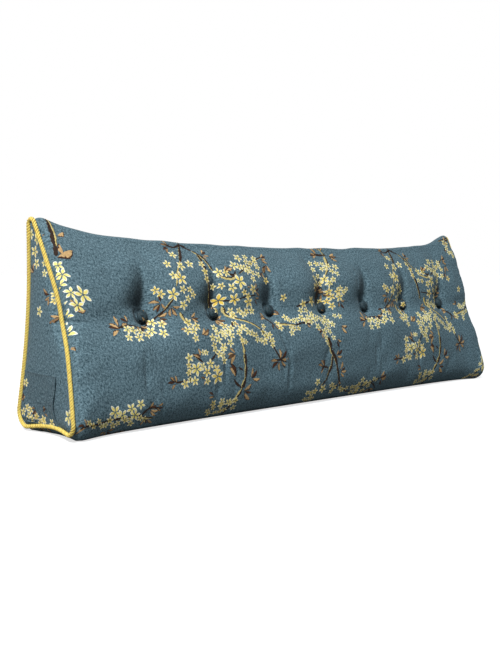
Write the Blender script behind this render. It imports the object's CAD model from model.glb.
"""Wedge reading pillow: a long buttoned wedge in blossom jacquard, with roped ends and a side pocket."""

import logging
import math
from dataclasses import dataclass, field, replace
from enum import Enum

import bpy
import numpy as np
from bpy.types import ID, Material, Mesh, Node, NodeSocket, NodeTree, Object, bpy_prop_collection
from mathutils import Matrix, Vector


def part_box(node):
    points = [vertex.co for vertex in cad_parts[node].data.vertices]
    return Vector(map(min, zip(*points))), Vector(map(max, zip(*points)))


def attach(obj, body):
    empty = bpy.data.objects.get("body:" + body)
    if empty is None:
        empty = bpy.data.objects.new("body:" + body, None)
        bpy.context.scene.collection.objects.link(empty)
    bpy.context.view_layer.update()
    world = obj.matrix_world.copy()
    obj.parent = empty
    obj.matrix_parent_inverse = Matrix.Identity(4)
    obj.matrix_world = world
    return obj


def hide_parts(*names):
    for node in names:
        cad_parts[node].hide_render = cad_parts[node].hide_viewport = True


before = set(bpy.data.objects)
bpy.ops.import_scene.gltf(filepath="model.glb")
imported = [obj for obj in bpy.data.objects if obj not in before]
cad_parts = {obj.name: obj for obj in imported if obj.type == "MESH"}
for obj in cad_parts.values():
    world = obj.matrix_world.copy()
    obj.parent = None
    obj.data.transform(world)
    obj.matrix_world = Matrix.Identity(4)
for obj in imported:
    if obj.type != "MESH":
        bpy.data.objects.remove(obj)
BODY = "root"
LOG = logging.getLogger("wedge_pillow")
CLOTH_SPAN = 2.0  # metres of cloth along each side of the cloth map's unit square
CLOTH_MAP = "cloth"
CM = 0.01
VECTOR = "FLOAT_VECTOR"

Array = np.ndarray
Pair = tuple[float, float]
Spot = tuple[float, float, float]
Colour = tuple[float, float, float]
Feed = NodeSocket | float | tuple  # what a node's input gets


# ---------------------------------------------------------------- small helpers

def smooth_step(edge0: float, edge1: float, value: Array) -> Array:
    """Eases from 0 at edge0 to 1 at edge1."""
    t = np.clip((value - edge0) / (edge1 - edge0), 0.0, 1.0)
    return t * t * (3.0 - 2.0 * t)


def bell(distance: Array, reach: float | Array, power: float = 2.0) -> Array:
    """A soft hump, 1 where distance is 0 and dying out past reach."""
    return np.exp(-np.abs(distance / reach) ** power)


def unit(vectors: Array) -> Array:
    """Vectors of length 1 along the last axis."""
    return vectors / np.linalg.norm(vectors, axis=-1, keepdims=True)


def swells(points: Array, scale: float, seed: int, count: int = 9) -> Array:
    """Gentle unevenness over a surface, the same on each run.

    Args:
        points: (..., k) places in metres.
        scale: the usual length of one swell, in metres.
        seed: picks which swells.
        count: how many swells are added up.

    Returns:
        Values of about -1 to 1, one for each point.
    """
    rng = np.random.default_rng(seed)
    total = np.zeros(points.shape[:-1])
    for _ in range(count):
        heading = unit(rng.normal(size=points.shape[-1]))
        length = scale * rng.uniform(0.6, 1.7)
        total += np.sin(points @ heading * (2 * math.pi / length) + rng.uniform(0, 2 * math.pi))
    return total / math.sqrt(count)


def put(name: str, data: ID) -> Object:
    """A new object at the origin of the scene that holds the data.

    Args:
        name: the object's name.
        data: the mesh, light or camera.

    Returns:
        The object.
    """
    obj = bpy.data.objects.new(name, data)
    bpy.context.scene.collection.objects.link(obj)
    return obj


def mesh_object(name: str, points: Array, faces: list | None = None, edges: list | None = None,
                facts: dict[str, Array] | None = None) -> Object:
    """Makes a mesh object.

    Args:
        name: the object's name.
        points: (n, 3) vertices in metres.
        faces: rows of vertex indices.
        edges: pairs of vertex indices, for a path.
        facts: named values, one for each vertex.

    Returns:
        The new object.
    """
    mesh = bpy.data.meshes.new(name)
    mesh.from_pydata([tuple(p) for p in points], edges or [], faces or [])
    mesh.update()
    if faces:
        mesh.polygons.foreach_set("use_smooth", np.ones(len(mesh.polygons), bool))
    for key, values in (facts or {}).items():
        set_fact(mesh, key, values)
    return put(name, mesh)


def set_fact(mesh: Mesh, name: str, values: Array) -> None:
    """Gives each vertex of a mesh a named value."""
    mesh.attributes.new(name, "FLOAT", "POINT").data.foreach_set("value", np.asarray(values, np.float32))


def tube_faces(rings: int, around: int) -> Array:
    """Faces between closed rings of points that are numbered ring by ring.

    Args:
        rings: how many rings.
        around: points in each ring.

    Returns:
        (n, 4) vertex indices.
    """
    i, j = np.divmod(np.arange((rings - 1) * around), around)
    k = (j + 1) % around
    return np.stack([i * around + j, i * around + k, (i + 1) * around + k, (i + 1) * around + j], -1)


def set_cloth_map(mesh: Mesh, corners: Array) -> None:
    """Gives a mesh its cloth map, from each face corner's place on the cloth in metres."""
    layer = mesh.uv_layers.new(name=CLOTH_MAP)
    layer.data.foreach_set("uv", (corners / CLOTH_SPAN).astype(np.float32).ravel())


def plain_mesh(obj: Object, name: str) -> Object:
    """Turns an object with modifiers into a plain mesh object.

    Args:
        obj: the object to evaluate, which is removed.
        name: the new object's name.

    Returns:
        The new object, with no modifiers.
    """
    graph = bpy.context.evaluated_depsgraph_get()
    mesh = bpy.data.meshes.new_from_object(obj.evaluated_get(graph), preserve_all_data_layers=True,
                                           depsgraph=graph)
    mesh.name = name
    bpy.data.objects.remove(obj)
    return put(name, mesh)


class Bench:
    """Places and joins the nodes of one tree."""

    def __init__(self, tree: NodeTree) -> None:
        """Works on the given tree."""
        self.tree = tree

    def add(self, kind: str, values: dict | None = None, **settings) -> Node:
        """Adds a node.

        Args:
            kind: the node's type.
            values: what each input gets, a socket to join or a plain value.
            **settings: the node's own properties.

        Returns:
            The node.
        """
        node = self.tree.nodes.new(kind)
        for name, value in settings.items():
            setattr(node, name, value)
        for key, value in (values or {}).items():
            if isinstance(value, NodeSocket):
                self.tree.links.new(value, node.inputs[key])
            else:
                node.inputs[key].default_value = value
        return node

    def out(self, kind: str, values: dict | None = None, **settings) -> NodeSocket:
        """Adds a node and gives its first output."""
        return self.add(kind, values, **settings).outputs[0]

    def maths(self, operation: str, *values: Feed) -> NodeSocket:
        """The result of a sum on numbers."""
        return self.out("ShaderNodeMath", dict(enumerate(values)), operation=operation)

    def vectors(self, operation: str, *values: Feed) -> NodeSocket:
        """The result of a sum on vectors."""
        node = self.add("ShaderNodeVectorMath", dict(enumerate(values)), operation=operation)
        return node.outputs["Value" if operation in ("DOT_PRODUCT", "LENGTH") else "Vector"]

    def blend(self, share: Feed, first: Feed, second: Feed) -> NodeSocket:
        """A colour part way from the first to the second."""
        return self.add("ShaderNodeMix", {0: share, 6: first, 7: second}, data_type="RGBA").outputs[2]

    def scaled(self, vector: Feed, factor: Feed) -> NodeSocket:
        """A vector times a number."""
        return self.out("ShaderNodeVectorMath", {0: vector, 3: factor}, operation="SCALE")

    def split(self, vector: Feed) -> bpy_prop_collection:
        """The three parts of a vector."""
        return self.add("ShaderNodeSeparateXYZ", {0: vector}).outputs

    def fact(self, name: str, kind: str = "FLOAT") -> NodeSocket:
        """A named value of the mesh, read in a Geometry Nodes tree."""
        node = self.add("GeometryNodeInputNamedAttribute", {"Name": name}, data_type=kind)
        return node.outputs["Attribute"]

    def stored(self, geometry: NodeSocket, name: str, value: Feed, kind: str = "FLOAT",
               domain: str = "POINT") -> NodeSocket:
        """The geometry with a named value kept on it."""
        return self.out("GeometryNodeStoreNamedAttribute", {
            "Geometry": geometry, "Name": name, "Value": value}, data_type=kind, domain=domain)

    def shape(self, thing: NodeSocket | Object) -> NodeSocket:
        """The geometry of an object."""
        return self.add("GeometryNodeObjectInfo", {"Object": thing}).outputs["Geometry"]

    def planted(self, points: NodeSocket, thing: NodeSocket | Object, angles: Feed,
                scale: Feed) -> NodeSocket:
        """A turned and scaled copy of an object on every point, as real geometry.

        Args:
            points: where the copies stand.
            thing: the object to copy.
            angles: the turn of each copy.
            scale: the size of each copy.

        Returns:
            The copies.
        """
        turn = self.out("FunctionNodeEulerToRotation", {0: angles})
        copies = self.out("GeometryNodeInstanceOnPoints", {
            "Points": points, "Instance": self.shape(thing), "Rotation": turn, "Scale": scale})
        return self.out("GeometryNodeRealizeInstances", {"Geometry": copies})

    def relief(self, shader: Node, height: Feed, strength: float, distance: float) -> None:
        """Gives a shader its bump."""
        bump = self.add("ShaderNodeBump", {"Height": height, "Strength": strength, "Distance": distance})
        self.tree.links.new(bump.outputs[0], shader.inputs["Normal"])

    def seen_fact(self, name: str, output: str = "Fac") -> NodeSocket:
        """A named value of the mesh, read in a material."""
        return self.add("ShaderNodeAttribute", attribute_name=name).outputs[output]

    def finish_off(self, geometry: NodeSocket, given: bpy_prop_collection,
                   result: bpy_prop_collection) -> None:
        """Ends a tree: real geometry in the given finish.

        Args:
            geometry: what the tree made.
            given: the tree's inputs.
            result: the tree's outputs.
        """
        made = self.out("GeometryNodeRealizeInstances", {"Geometry": geometry})
        dressed = self.out("GeometryNodeSetMaterial", {"Geometry": made, "Material": given["Finish"]})
        self.tree.links.new(dressed, result["Geometry"])

    def ramp(self, value: Feed, low: float, high: float, to_low: float = 0.0,
             to_high: float = 1.0) -> NodeSocket:
        """Carries a number from one range to another, held at its ends."""
        return self.out("ShaderNodeMapRange", {0: value, 1: low, 2: high, 3: to_low, 4: to_high})


def new_material(name: str, looks: dict[str, float | tuple]) -> tuple[Material, Bench, Node]:
    """Makes a material.

    Args:
        name: the material's name.
        looks: plain values for the shader's inputs, by their labels.

    Returns:
        The material, a bench on its tree, and its shader.
    """
    material = bpy.data.materials.new(name)
    material.use_nodes = True
    shader = material.node_tree.nodes["Principled BSDF"]
    for label, value in looks.items():
        shader.inputs[label].default_value = value
    return material, Bench(material.node_tree), shader


def node_group(name: str, kind: str, inputs: dict[str, str], outputs: dict[str, str]) -> tuple:
    """Makes an empty node group with its sockets.

    Args:
        name: the group's name.
        kind: GeometryNodeTree or ShaderNodeTree.
        inputs: what each input takes, by name.
        outputs: what each output gives, by name.

    Returns:
        The group, a bench on it, what it is given and what it results in.
    """
    tree = bpy.data.node_groups.new(name, kind)
    for direction, sockets in (("INPUT", inputs), ("OUTPUT", outputs)):
        for label, socket in sockets.items():
            tree.interface.new_socket(name=label, in_out=direction, socket_type=f"NodeSocket{socket}")
    given, result = (tree.nodes.new(f"NodeGroup{end}") for end in ("Input", "Output"))
    return tree, Bench(tree), given.outputs, result.inputs


def run_tree(obj: Object, tree: NodeTree, name: str, values: dict) -> Object:
    """Runs a Geometry Nodes tree on an object and keeps what it makes.

    Args:
        obj: the object to work on, which is removed.
        tree: the tree.
        name: the new object's name.
        values: what each named input gets.

    Returns:
        The new object, a plain mesh.
    """
    modifier = obj.modifiers.new(tree.name, "NODES")
    modifier.node_group = tree
    for item in tree.interface.items_tree:
        if item.item_type == "SOCKET" and item.in_out == "INPUT" and item.name in values:
            modifier[item.identifier] = values[item.name]
    return plain_mesh(obj, name)


# ---------------------------------------------------------------- the pillow's form

@dataclass(frozen=True)
class RowPlan:
    """How many points go round the girth: close together at the button row, wider apart elsewhere."""

    ridge: int = 10
    above: int = 36
    below: int = 32
    toe: int = 14
    base: int = 14
    heel: int = 8
    back: int = 44
    first_step: float = 0.013

    def from_button(self, count: int) -> Array:
        """Shares of the way from the button row to the next corner, 1 at the corner."""
        k = np.arange(1, count + 1)
        return self.first_step * k + (1 - self.first_step * count) * (k / count) ** 2

    @property
    def button_row(self) -> int:
        """The row that runs through the buttons."""
        return self.ridge + self.above


@dataclass
class Skin:
    """A grid of points round and along the wedge: the front's outward direction, and which rows are front."""

    points: Array
    out: Array
    front: Array


@dataclass
class WedgeForm:
    """The stuffed wedge as sizes, in metres, at an end seam and at mid length, and the surface they give.

    The front runs from the ridge down to the toe, the base on to the heel, and the back up to the ridge.
    """

    length: float = 1.505
    ridge_y: Pair = (0.047, 0.016)
    ridge_z: Pair = (0.494, 0.469)
    toe_y: Pair = (-0.121, -0.136)
    toe_z: Pair = (0.017, 0.0)
    heel_y: Pair = (0.118, 0.118)
    heel_z: Pair = (0.009, -0.004)
    ridge_radius: Pair = (0.012, 0.016)
    toe_radius: Pair = (0.021, 0.064)
    heel_radius: Pair = (0.032, 0.040)
    front_crown: Pair = (0.013, 0.033)
    base_crown: Pair = (-0.007, 0.012)
    back_crown: Pair = (0.003, 0.018)
    ridge_sag: float = 0.0145
    front_bow: float = 0.011
    section_reach: float = 0.129
    foot_reach: float = 0.060
    draw_reach: float = 0.120
    button_height: float = 0.247
    valley_depth: float = 0.022
    valley_at_seam: float = 0.46
    valley_half: float = 0.050
    valley_drop: float = 0.008
    side_draw: float = 0.011
    button_draw: float = 0.007
    button_draw_half: float = 0.070
    seat_depth: float = 0.016
    bevel: float = 0.006
    roll: Pair = (0.021, 0.020)
    roll_start: Pair = (0.006, 0.0)
    roll_reach: Pair = (0.010, 0.007)
    roll_fade: float = 0.050
    roll_at_ridge: Pair = (0.50, 0.55)
    roll_ridge_half: float = 0.06
    waist_drop: float = 0.036
    toe_ease_rows: float = 7.0
    toe_ease_passes: int = 8

    @staticmethod
    def _eased(sizes: Pair, share: Array) -> Array:
        """A size part way from its end value to its mid-length value."""
        return sizes[0] + (sizes[1] - sizes[0]) * share

    @staticmethod
    def _corner(before: Array, at: Array, after: Array, radius: Array,
                steps: int) -> tuple[Array, Array, Array]:
        """Rounds one corner of every section.

        Args:
            before: (n, 2) corners before it.
            at: (n, 2) the corners.
            after: (n, 2) corners after it.
            radius: (n,) radii.
            steps: points along the arc.

        Returns:
            Where the arcs start, where they end, and their (n, steps, 2) points.
        """
        back, on = unit(before - at), unit(after - at)
        half = np.arccos((back * on).sum(-1)) / 2
        reach = (radius / np.tan(half))[:, None]
        centre = at + unit(back + on) * (radius / np.sin(half))[:, None]
        start = at + back * reach
        first = np.arctan2(start[:, 1] - centre[:, 1], start[:, 0] - centre[:, 0])
        angle = first[:, None] + (math.pi - 2 * half)[:, None] * np.arange(steps) / steps
        arc = centre[:, None] + radius[:, None, None] * np.stack([np.cos(angle), np.sin(angle)], -1)
        return start, at + on * reach, arc

    def _side(self, start: Array, end: Array, shares: Array, crown: Array,
              valley: Array, row: Array) -> tuple[Array, Array]:
        """Points along one side of every section, pushed out by its crown and in at the button row.

        Args:
            start: (n, 2) where the side starts.
            end: (n, 2) where it ends.
            shares: (n, m) how far along each point lies.
            crown: (n,) how far the middle stands out.
            valley: (n,) depth of the hollow at the button row.
            row: (n,) height of that row.

        Returns:
            The (n, m, 2) points and the (n, 2) outward direction of the side.
        """
        run = end - start
        out = unit(np.stack([run[:, 1], -run[:, 0]], -1))
        points = start[:, None] + run[:, None] * shares[..., None]
        hollow = valley[:, None] * bell(points[..., 1] - row[:, None] + self.valley_drop, self.valley_half)
        push = crown[:, None] * np.sin(math.pi * shares) - hollow
        return points + out[:, None] * push[..., None], out

    def _eased_toe(self, outline: Array, rows: RowPlan) -> Array:
        """Sections with the front's crown eased into the toe, over the rows each side of where they meet.

        Args:
            outline: (n, m, 2) the sections.
            rows: how the points are spread round the girth.

        Returns:
            The eased sections.
        """
        meet = rows.button_row + rows.below
        share = bell(np.arange(outline.shape[1]) - meet, self.toe_ease_rows, 4)[:, None]
        for _ in range(self.toe_ease_passes):
            evened = (np.roll(outline, 1, 1) + 2 * outline + np.roll(outline, -1, 1)) / 4
            outline = outline + (evened - outline) * share
        return outline

    def skin(self, xs: Array, rows: RowPlan) -> Skin:
        """The smooth stuffed surface before it is buttoned.

        Args:
            xs: (n,) places along the length.
            rows: how the points are spread round the girth.

        Returns:
            The surface, with a row of points for each x.
        """
        half = self.length / 2
        inset = half - np.abs(xs)
        body = 1 - np.exp(-inset / self.section_reach)
        foot = 1 - np.exp(-inset / self.foot_reach)
        middle = 1 - (xs / half) ** 2
        sag = self.ridge_sag * middle
        ridge = np.stack([self._eased(self.ridge_y, body), self._eased(self.ridge_z, body) - sag], -1)
        toe = np.stack([self._eased(self.toe_y, body), self._eased(self.toe_z, foot)], -1)
        heel = np.stack([self._eased(self.heel_y, body), self._eased(self.heel_z, foot)], -1)
        top = self._corner(heel, ridge, toe, self._eased(self.ridge_radius, body), rows.ridge)
        low = self._corner(ridge, toe, heel, self._eased(self.toe_radius, body), rows.toe)
        rear = self._corner(toe, heel, ridge, self._eased(self.heel_radius, body), rows.heel)
        at_button = ((top[1][:, 1] - self.button_height) / (top[1][:, 1] - low[0][:, 1]))[:, None]
        up = at_button * (1 - rows.from_button(rows.above)[::-1])
        down = at_button + (1 - at_button) * rows.from_button(rows.below)
        shares = np.concatenate([up, at_button, down[:, :-1]], 1)
        none = np.zeros_like(xs)
        valley = self.valley_depth * (self.valley_at_seam + (1 - self.valley_at_seam) * body)
        crown = self._eased(self.front_crown, body) + self.front_bow * middle
        row = self.button_height - self.waist_drop * np.exp(-inset / self.section_reach) * (xs > 0)
        front, out = self._side(top[1], low[0], shares, crown, valley, row)
        base_shares, back_shares = (np.tile(np.arange(k) / k, (len(xs), 1)) for k in (rows.base, rows.back))
        base, _ = self._side(low[1], rear[0], base_shares, self._eased(self.base_crown, foot), none, none)
        back, _ = self._side(rear[1], top[0], back_shares, self._eased(self.back_crown, body), none, none)
        outline = np.concatenate([top[2], front, low[2], base, rear[2], back], 1)
        outline = self._eased_toe(outline, rows)
        along = np.roll(outline, -1, 1) - np.roll(outline, 1, 1)
        rolls = (self.roll, self.roll_start, self.roll_reach)
        size, begin, reach = (np.where(xs < 0, *pair) for pair in rolls)
        roll = size * (1 - np.exp(-np.maximum(inset - begin, 0) / reach)) * np.exp(-inset / self.roll_fade)
        kept = np.where(xs < 0, *self.roll_at_ridge)[:, None]
        roll = roll[:, None] * (1 - (1 - kept) * bell(outline[..., 1] - ridge[:, 1:], self.roll_ridge_half))
        outline = outline + unit(np.stack([along[..., 1], -along[..., 0]], -1)) * roll[..., None]
        outline[..., 1] = np.maximum(outline[..., 1], 0.0)
        sides = zip((rows.ridge, rows.toe, rows.heel), (shares, base_shares, back_shares))
        pull = [part for k, s in sides for part in (np.zeros((len(xs), k)), np.sin(math.pi * s))]
        is_front = np.zeros(outline.shape[1], bool)
        is_front[rows.ridge:rows.ridge + shares.shape[1]] = True
        drawn = self.side_draw * np.concatenate(pull, 1)
        drawn += is_front * self.button_draw * bell(outline[..., 1] - row[:, None], self.button_draw_half)
        drawn *= np.exp(-inset / self.draw_reach)[:, None]
        x = xs[:, None] - np.sign(xs)[:, None] * drawn
        points = np.concatenate([x[..., None], outline], -1)
        return Skin(points, np.concatenate([none[:, None], out], -1), is_front)

    def end_edge(self, end: int, rows: RowPlan) -> tuple[Array, Array]:
        """The corner that the end seam turns, and the direction out of the section at each point.

        Args:
            end: -1 for the left end, 1 for the right.
            rows: how the points are spread round the girth.

        Returns:
            (m, 3) points and (m, 3) directions.
        """
        edge = self.skin(np.array([end * (self.length / 2 - 1e-6)]), rows).points[0]
        along = np.roll(edge, -1, 0) - np.roll(edge, 1, 0)
        return edge, unit(np.stack([np.zeros(len(edge)), along[:, 2], -along[:, 1]], -1))


@dataclass
class Seat:
    """Where one button is tied down."""

    at: Array
    out: Array

    @property
    def up(self) -> Array:
        """The direction up the front from the button."""
        rise = np.array([0.0, -self.out[2], self.out[1]])
        return rise if rise[2] > 0 else -rise


# ---------------------------------------------------------------- finishes

def weave_group() -> NodeTree:
    """Threads that go over and under, in mixed yarns. Built once, used by every cloth.

    Returns:
        A group that takes a place on the cloth in metres and puts out a height and a yarn mask.
    """
    name = "woven_threads"
    if name in bpy.data.node_groups:
        return bpy.data.node_groups[name]
    tree, bench, given, result = node_group(
        name, "ShaderNodeTree",
        {"Cloth": "Vector", "Pitch": "Float", "Yarn length": "Float"},
        {"Height": "Float", "Yarn": "Float"})
    turns = bench.maths("DIVIDE", 2 * math.pi, given["Pitch"])
    phase = bench.split(bench.scaled(given["Cloth"], turns))
    cross = bench.maths("MULTIPLY", *(bench.maths("SINE", phase[k]) for k in (0, 1)))
    rate = bench.maths("DIVIDE", 1.0, given["Yarn length"])
    masks = []
    for stretch in ((1.0, 1.25, 1.0), (0.62, 0.50, 0.62)):
        run = bench.vectors("MULTIPLY", given["Cloth"], stretch)
        noise = bench.add("ShaderNodeTexNoise", {
            "Vector": bench.scaled(run, rate), "Scale": 1.0, "Detail": 1.5, "Roughness": 0.6})
        masks.append(noise.outputs["Fac"])
    yarn = bench.ramp(bench.maths("ADD", *masks), 0.74, 1.26)
    height = bench.maths("MULTIPLY_ADD", yarn, 0.08, bench.maths("MULTIPLY_ADD", cross, 0.25, 0.5))
    tree.links.new(height, result["Height"])
    tree.links.new(yarn, result["Yarn"])
    return tree


class Where(Enum):
    """What a cloth's threads follow."""

    CLOTH_MAP = "the piece's cloth map"
    FLAT_PLACE = "where each point lay on the flat cloth"
    SOLID = "the piece itself"


@dataclass(frozen=True)
class ClothFinish:
    """Woven cloth in mixed dark and light yarns."""

    name: str
    dark: Colour
    light: Colour
    follows: Where = Where.CLOTH_MAP
    pitch: float = 0.0012
    yarn_length: float = 0.0027
    relief: float = 0.00030
    roughness: float = 0.88
    shine: float = 0.15
    sheen: float = 0.05
    sheen_roughness: float = 0.45
    in_hollows: float = 0.13

    def threads(self, bench: Bench) -> Node:
        """The weave, placed on this cloth.

        Args:
            bench: the bench on the material's tree.

        Returns:
            The weave's node.
        """
        if self.follows is Where.CLOTH_MAP:
            flat = bench.out("ShaderNodeUVMap", uv_map=CLOTH_MAP)
            place = bench.scaled(flat, CLOTH_SPAN)
        elif self.follows is Where.FLAT_PLACE:
            place = bench.seen_fact("flat_place", "Vector")
        else:
            place = bench.add("ShaderNodeTexCoord").outputs["Object"]
        node = bench.add("ShaderNodeGroup", node_tree=weave_group())
        for label, value in (("Pitch", self.pitch), ("Yarn length", self.yarn_length)):
            node.inputs[label].default_value = value
        bench.tree.links.new(place, node.inputs["Cloth"])
        return node

    def colour(self, bench: Bench, threads: Node) -> NodeSocket:
        """The cloth's colour at each point."""
        cloth = bench.blend(threads.outputs["Yarn"], (*self.dark, 1), (*self.light, 1))
        return bench.scaled(cloth, bench.ramp(bench.seen_fact("drawn_in"), 0.0, 1.0, 1.0, self.in_hollows))

    def make(self) -> Material:
        """Makes the material.

        Returns:
            The material.
        """
        material, bench, shader = new_material(self.name, {
            "Roughness": self.roughness, "Specular IOR Level": self.shine, "Sheen Weight": self.sheen,
            "Sheen Roughness": self.sheen_roughness})
        threads = self.threads(bench)
        bench.tree.links.new(self.colour(bench, threads), shader.inputs["Base Color"])
        bench.relief(shader, threads.outputs["Height"], 1.0, self.relief)
        return material


@dataclass(frozen=True)
class MotifFinish(ClothFinish):
    """Brocaded colour: a heart and a rim, each in two tones that the fact 'depth' moves between."""

    follows: Where = Where.FLAT_PLACE
    rim: Colour = (0.8, 0.8, 0.7)
    deep_rim: Colour = (0.7, 0.6, 0.4)
    heart_from: float = 0.45
    fray: float = 0.3
    shading: Pair = (0.72, 1.08)  # between the weave's dark yarn and its light one

    def colour(self, bench: Bench, threads: Node) -> NodeSocket:
        """The motif's colour: its heart and its rim, each from its light tone to its deep one.

        Args:
            bench: the bench on the material's tree.
            threads: the weave's node.

        Returns:
            The colour.
        """
        depth = bench.seen_fact("depth")
        ragged = bench.maths("MULTIPLY_ADD", threads.outputs["Yarn"], self.fray, bench.seen_fact("heart"))
        inside = bench.ramp(ragged, self.heart_from + 0.1, self.heart_from + 0.2)
        heart = bench.blend(depth, (*self.light, 1), (*self.dark, 1))
        rim = bench.blend(depth, (*self.rim, 1), (*self.deep_rim, 1))
        shade = bench.ramp(threads.outputs["Yarn"], 0.0, 1.0, *self.shading)
        return bench.scaled(bench.blend(inside, rim, heart), shade)


@dataclass(frozen=True)
class RopeFinish:
    """Glossy twisted yarn."""

    name: str = "cord_gold_finish"
    groove: Colour = (0.40, 0.20, 0.015)
    dark: Colour = (0.76, 0.53, 0.06)
    light: Colour = (0.97, 0.82, 0.22)
    yarns: int = 9
    lean: float = 2.0
    groove_between: Pair = (0.0036, 0.0046)
    grain: float = 260.0
    line_share: float = 0.55
    relief: float = 0.0003
    roughness: float = 0.45
    sheen: float = 0.2

    def make(self) -> Material:
        """Makes the material: fine yarn lines that wind round each strand.

        Returns:
            The material.
        """
        looks = {"Roughness": self.roughness, "Sheen Weight": self.sheen}
        material, bench, shader = new_material(self.name, looks)
        around = bench.split(bench.seen_fact("around", "Vector"))
        angle = bench.maths("ARCTAN2", around[1], around[0])
        wound = bench.maths("MULTIPLY_ADD", around[2], self.lean * self.yarns,
                            bench.maths("MULTIPLY", angle, float(self.yarns)))
        line = bench.maths("MULTIPLY_ADD", bench.maths("SINE", wound), 0.5, 0.5)
        place = bench.add("ShaderNodeTexCoord").outputs["Object"]
        noise = bench.add("ShaderNodeTexNoise", {"Vector": place, "Scale": self.grain, "Detail": 2.0})
        mixed = bench.ramp(noise.outputs["Fac"], 0.35, 0.7, 0.0, 1 - self.line_share)
        mixed = bench.maths("MULTIPLY_ADD", line, self.line_share, mixed)
        yarn = bench.blend(mixed, (*self.dark, 1), (*self.light, 1))
        open_to_light = bench.ramp(bench.seen_fact("standing"), *self.groove_between)
        bench.tree.links.new(bench.blend(open_to_light, (*self.groove, 1), yarn), shader.inputs["Base Color"])
        bench.relief(shader, line, 0.7, self.relief)
        return material


GROUND = ClothFinish("cushion_cloth_finish", dark=(0.019, 0.046, 0.060), light=(0.164, 0.254, 0.300))
POCKET_GROUND = ClothFinish("pocket_cloth_finish", dark=(0.014, 0.036, 0.048), light=(0.140, 0.212, 0.248))
BUTTON_GROUND = ClothFinish("button_cloth_finish", dark=(0.007, 0.015, 0.020), light=(0.046, 0.076, 0.090),
                            follows=Where.SOLID, roughness=0.5)
PETAL = MotifFinish("petal_yarn", dark=(0.82, 0.57, 0.09), light=(0.92, 0.80, 0.26),
                    rim=(0.98, 0.98, 0.93), deep_rim=(0.96, 0.92, 0.66), heart_from=0.40, roughness=0.6)
LEAF = MotifFinish("leaf_yarn", dark=(0.075, 0.032, 0.018), light=(0.60, 0.39, 0.18),
                   rim=(0.060, 0.028, 0.018), deep_rim=(0.020, 0.011, 0.009), heart_from=0.30, roughness=0.6)
BARK = MotifFinish("bark_yarn", dark=(0.042, 0.024, 0.017), light=(0.70, 0.57, 0.22),
                   rim=(0.036, 0.020, 0.014), deep_rim=(0.020, 0.012, 0.010), heart_from=0.22, roughness=0.6)


# ---------------------------------------------------------------- the cushion

@dataclass(frozen=True)
class SettledCloth:
    """Cloth that is drawn down to its buttons over a stuffed form, for the small folds that it makes."""

    pressure: float = 4.0
    slack: float = 0.012
    weight: float = 0.4
    bend: float = 0.25
    frames: int = 20
    drawn_by: int = 12
    steps: int = 6
    most: float = 0.0032
    even_passes: int = 16

    @staticmethod
    def _closed(points: Array) -> tuple[Array, list[list[int]]]:
        """The grid as one closed skin, with a fan over each end.

        Args:
            points: (n, m, 3) the grid.

        Returns:
            Its points with the middle of each end, and its faces.
        """
        n, m = points.shape[:2]
        a = np.arange(m)
        b, far = np.roll(a, -1), (n - 1) * m
        fans = np.stack([np.full(m, n * m), b, a, np.full(m, n * m + 1), far + a, far + b], 1).reshape(-1, 3)
        middles = np.stack([points[0].mean(0), points[-1].mean(0)])
        return np.concatenate([points.reshape(-1, 3), middles]), tube_faces(n, m).tolist() + fans.tolist()

    def _loose(self, smooth: Array, drawn: Array, held: Array) -> Object:
        """The cloth with its pins, which move from the smooth form to the drawn one.

        Args:
            smooth: (n, m, 3) the form before it is buttoned.
            drawn: (n, m, 3) the buttoned form.
            held: (n, m) which points are tied or sewn.

        Returns:
            The cloth, ready to run.
        """
        start, faces = self._closed(smooth)
        obj = mesh_object("loose_cloth", start, faces)
        obj.shape_key_add(name="smooth")
        key = obj.shape_key_add(name="drawn")
        key.data.foreach_set("co", self._closed(drawn)[0].astype(np.float32).ravel())
        for value, at in ((0.0, 1), (1.0, self.drawn_by)):
            key.value = value
            key.keyframe_insert("value", frame=at)
        group = obj.vertex_groups.new(name="held")
        count = held.size
        group.add([*map(int, np.flatnonzero(held)), count, count + 1], 1.0, "REPLACE")
        cloth = obj.modifiers.new("cloth", "CLOTH")
        wear = cloth.settings
        wear.quality, wear.mass, wear.bending_stiffness = self.steps, self.weight, self.bend
        wear.use_pressure = True
        wear.uniform_pressure_force = self.pressure
        wear.shrink_min = -self.slack
        wear.vertex_group_mass = "held"
        wear.effector_weights.gravity = 0.0
        cloth.point_cache.frame_start, cloth.point_cache.frame_end = 1, self.frames
        return obj

    def folds(self, smooth: Array, drawn: Array, held: Array) -> Array:
        """Runs the cloth and takes its small folds.

        Args:
            smooth: (n, m, 3) the form before it is buttoned.
            drawn: (n, m, 3) the buttoned form.
            held: (n, m) which points are tied or sewn.

        Returns:
            (n, m, 3) how far the folds move each point of the buttoned form.
        """
        obj = self._loose(smooth, drawn, held)
        scene = bpy.context.scene
        for at in range(1, self.frames + 1):
            scene.frame_set(at)
        action = obj.data.shape_keys.animation_data.action
        settled = plain_mesh(obj, "settled_cloth")
        places = np.empty(len(settled.data.vertices) * 3, np.float32)
        settled.data.vertices.foreach_get("co", places)
        bpy.data.objects.remove(settled)
        bpy.data.actions.remove(action)
        scene.frame_set(1)
        n, m = held.shape
        moved = places.reshape(-1, 3)[:n * m].reshape(n, m, 3) - drawn
        even = moved
        for _ in range(self.even_passes):
            even = (np.roll(even, 1, 1) + 2 * even + np.roll(even, -1, 1)) / 4
            padded = np.concatenate([even[:1], even, even[-1:]])
            even = (padded[:-2] + 2 * even + padded[2:]) / 4
        fine = moved - even
        size = np.linalg.norm(fine, axis=-1, keepdims=True)
        fine = fine * (self.most * np.tanh(size / self.most) / np.maximum(size, 1e-9))
        return np.where(held[..., None], 0.0, fine)


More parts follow.
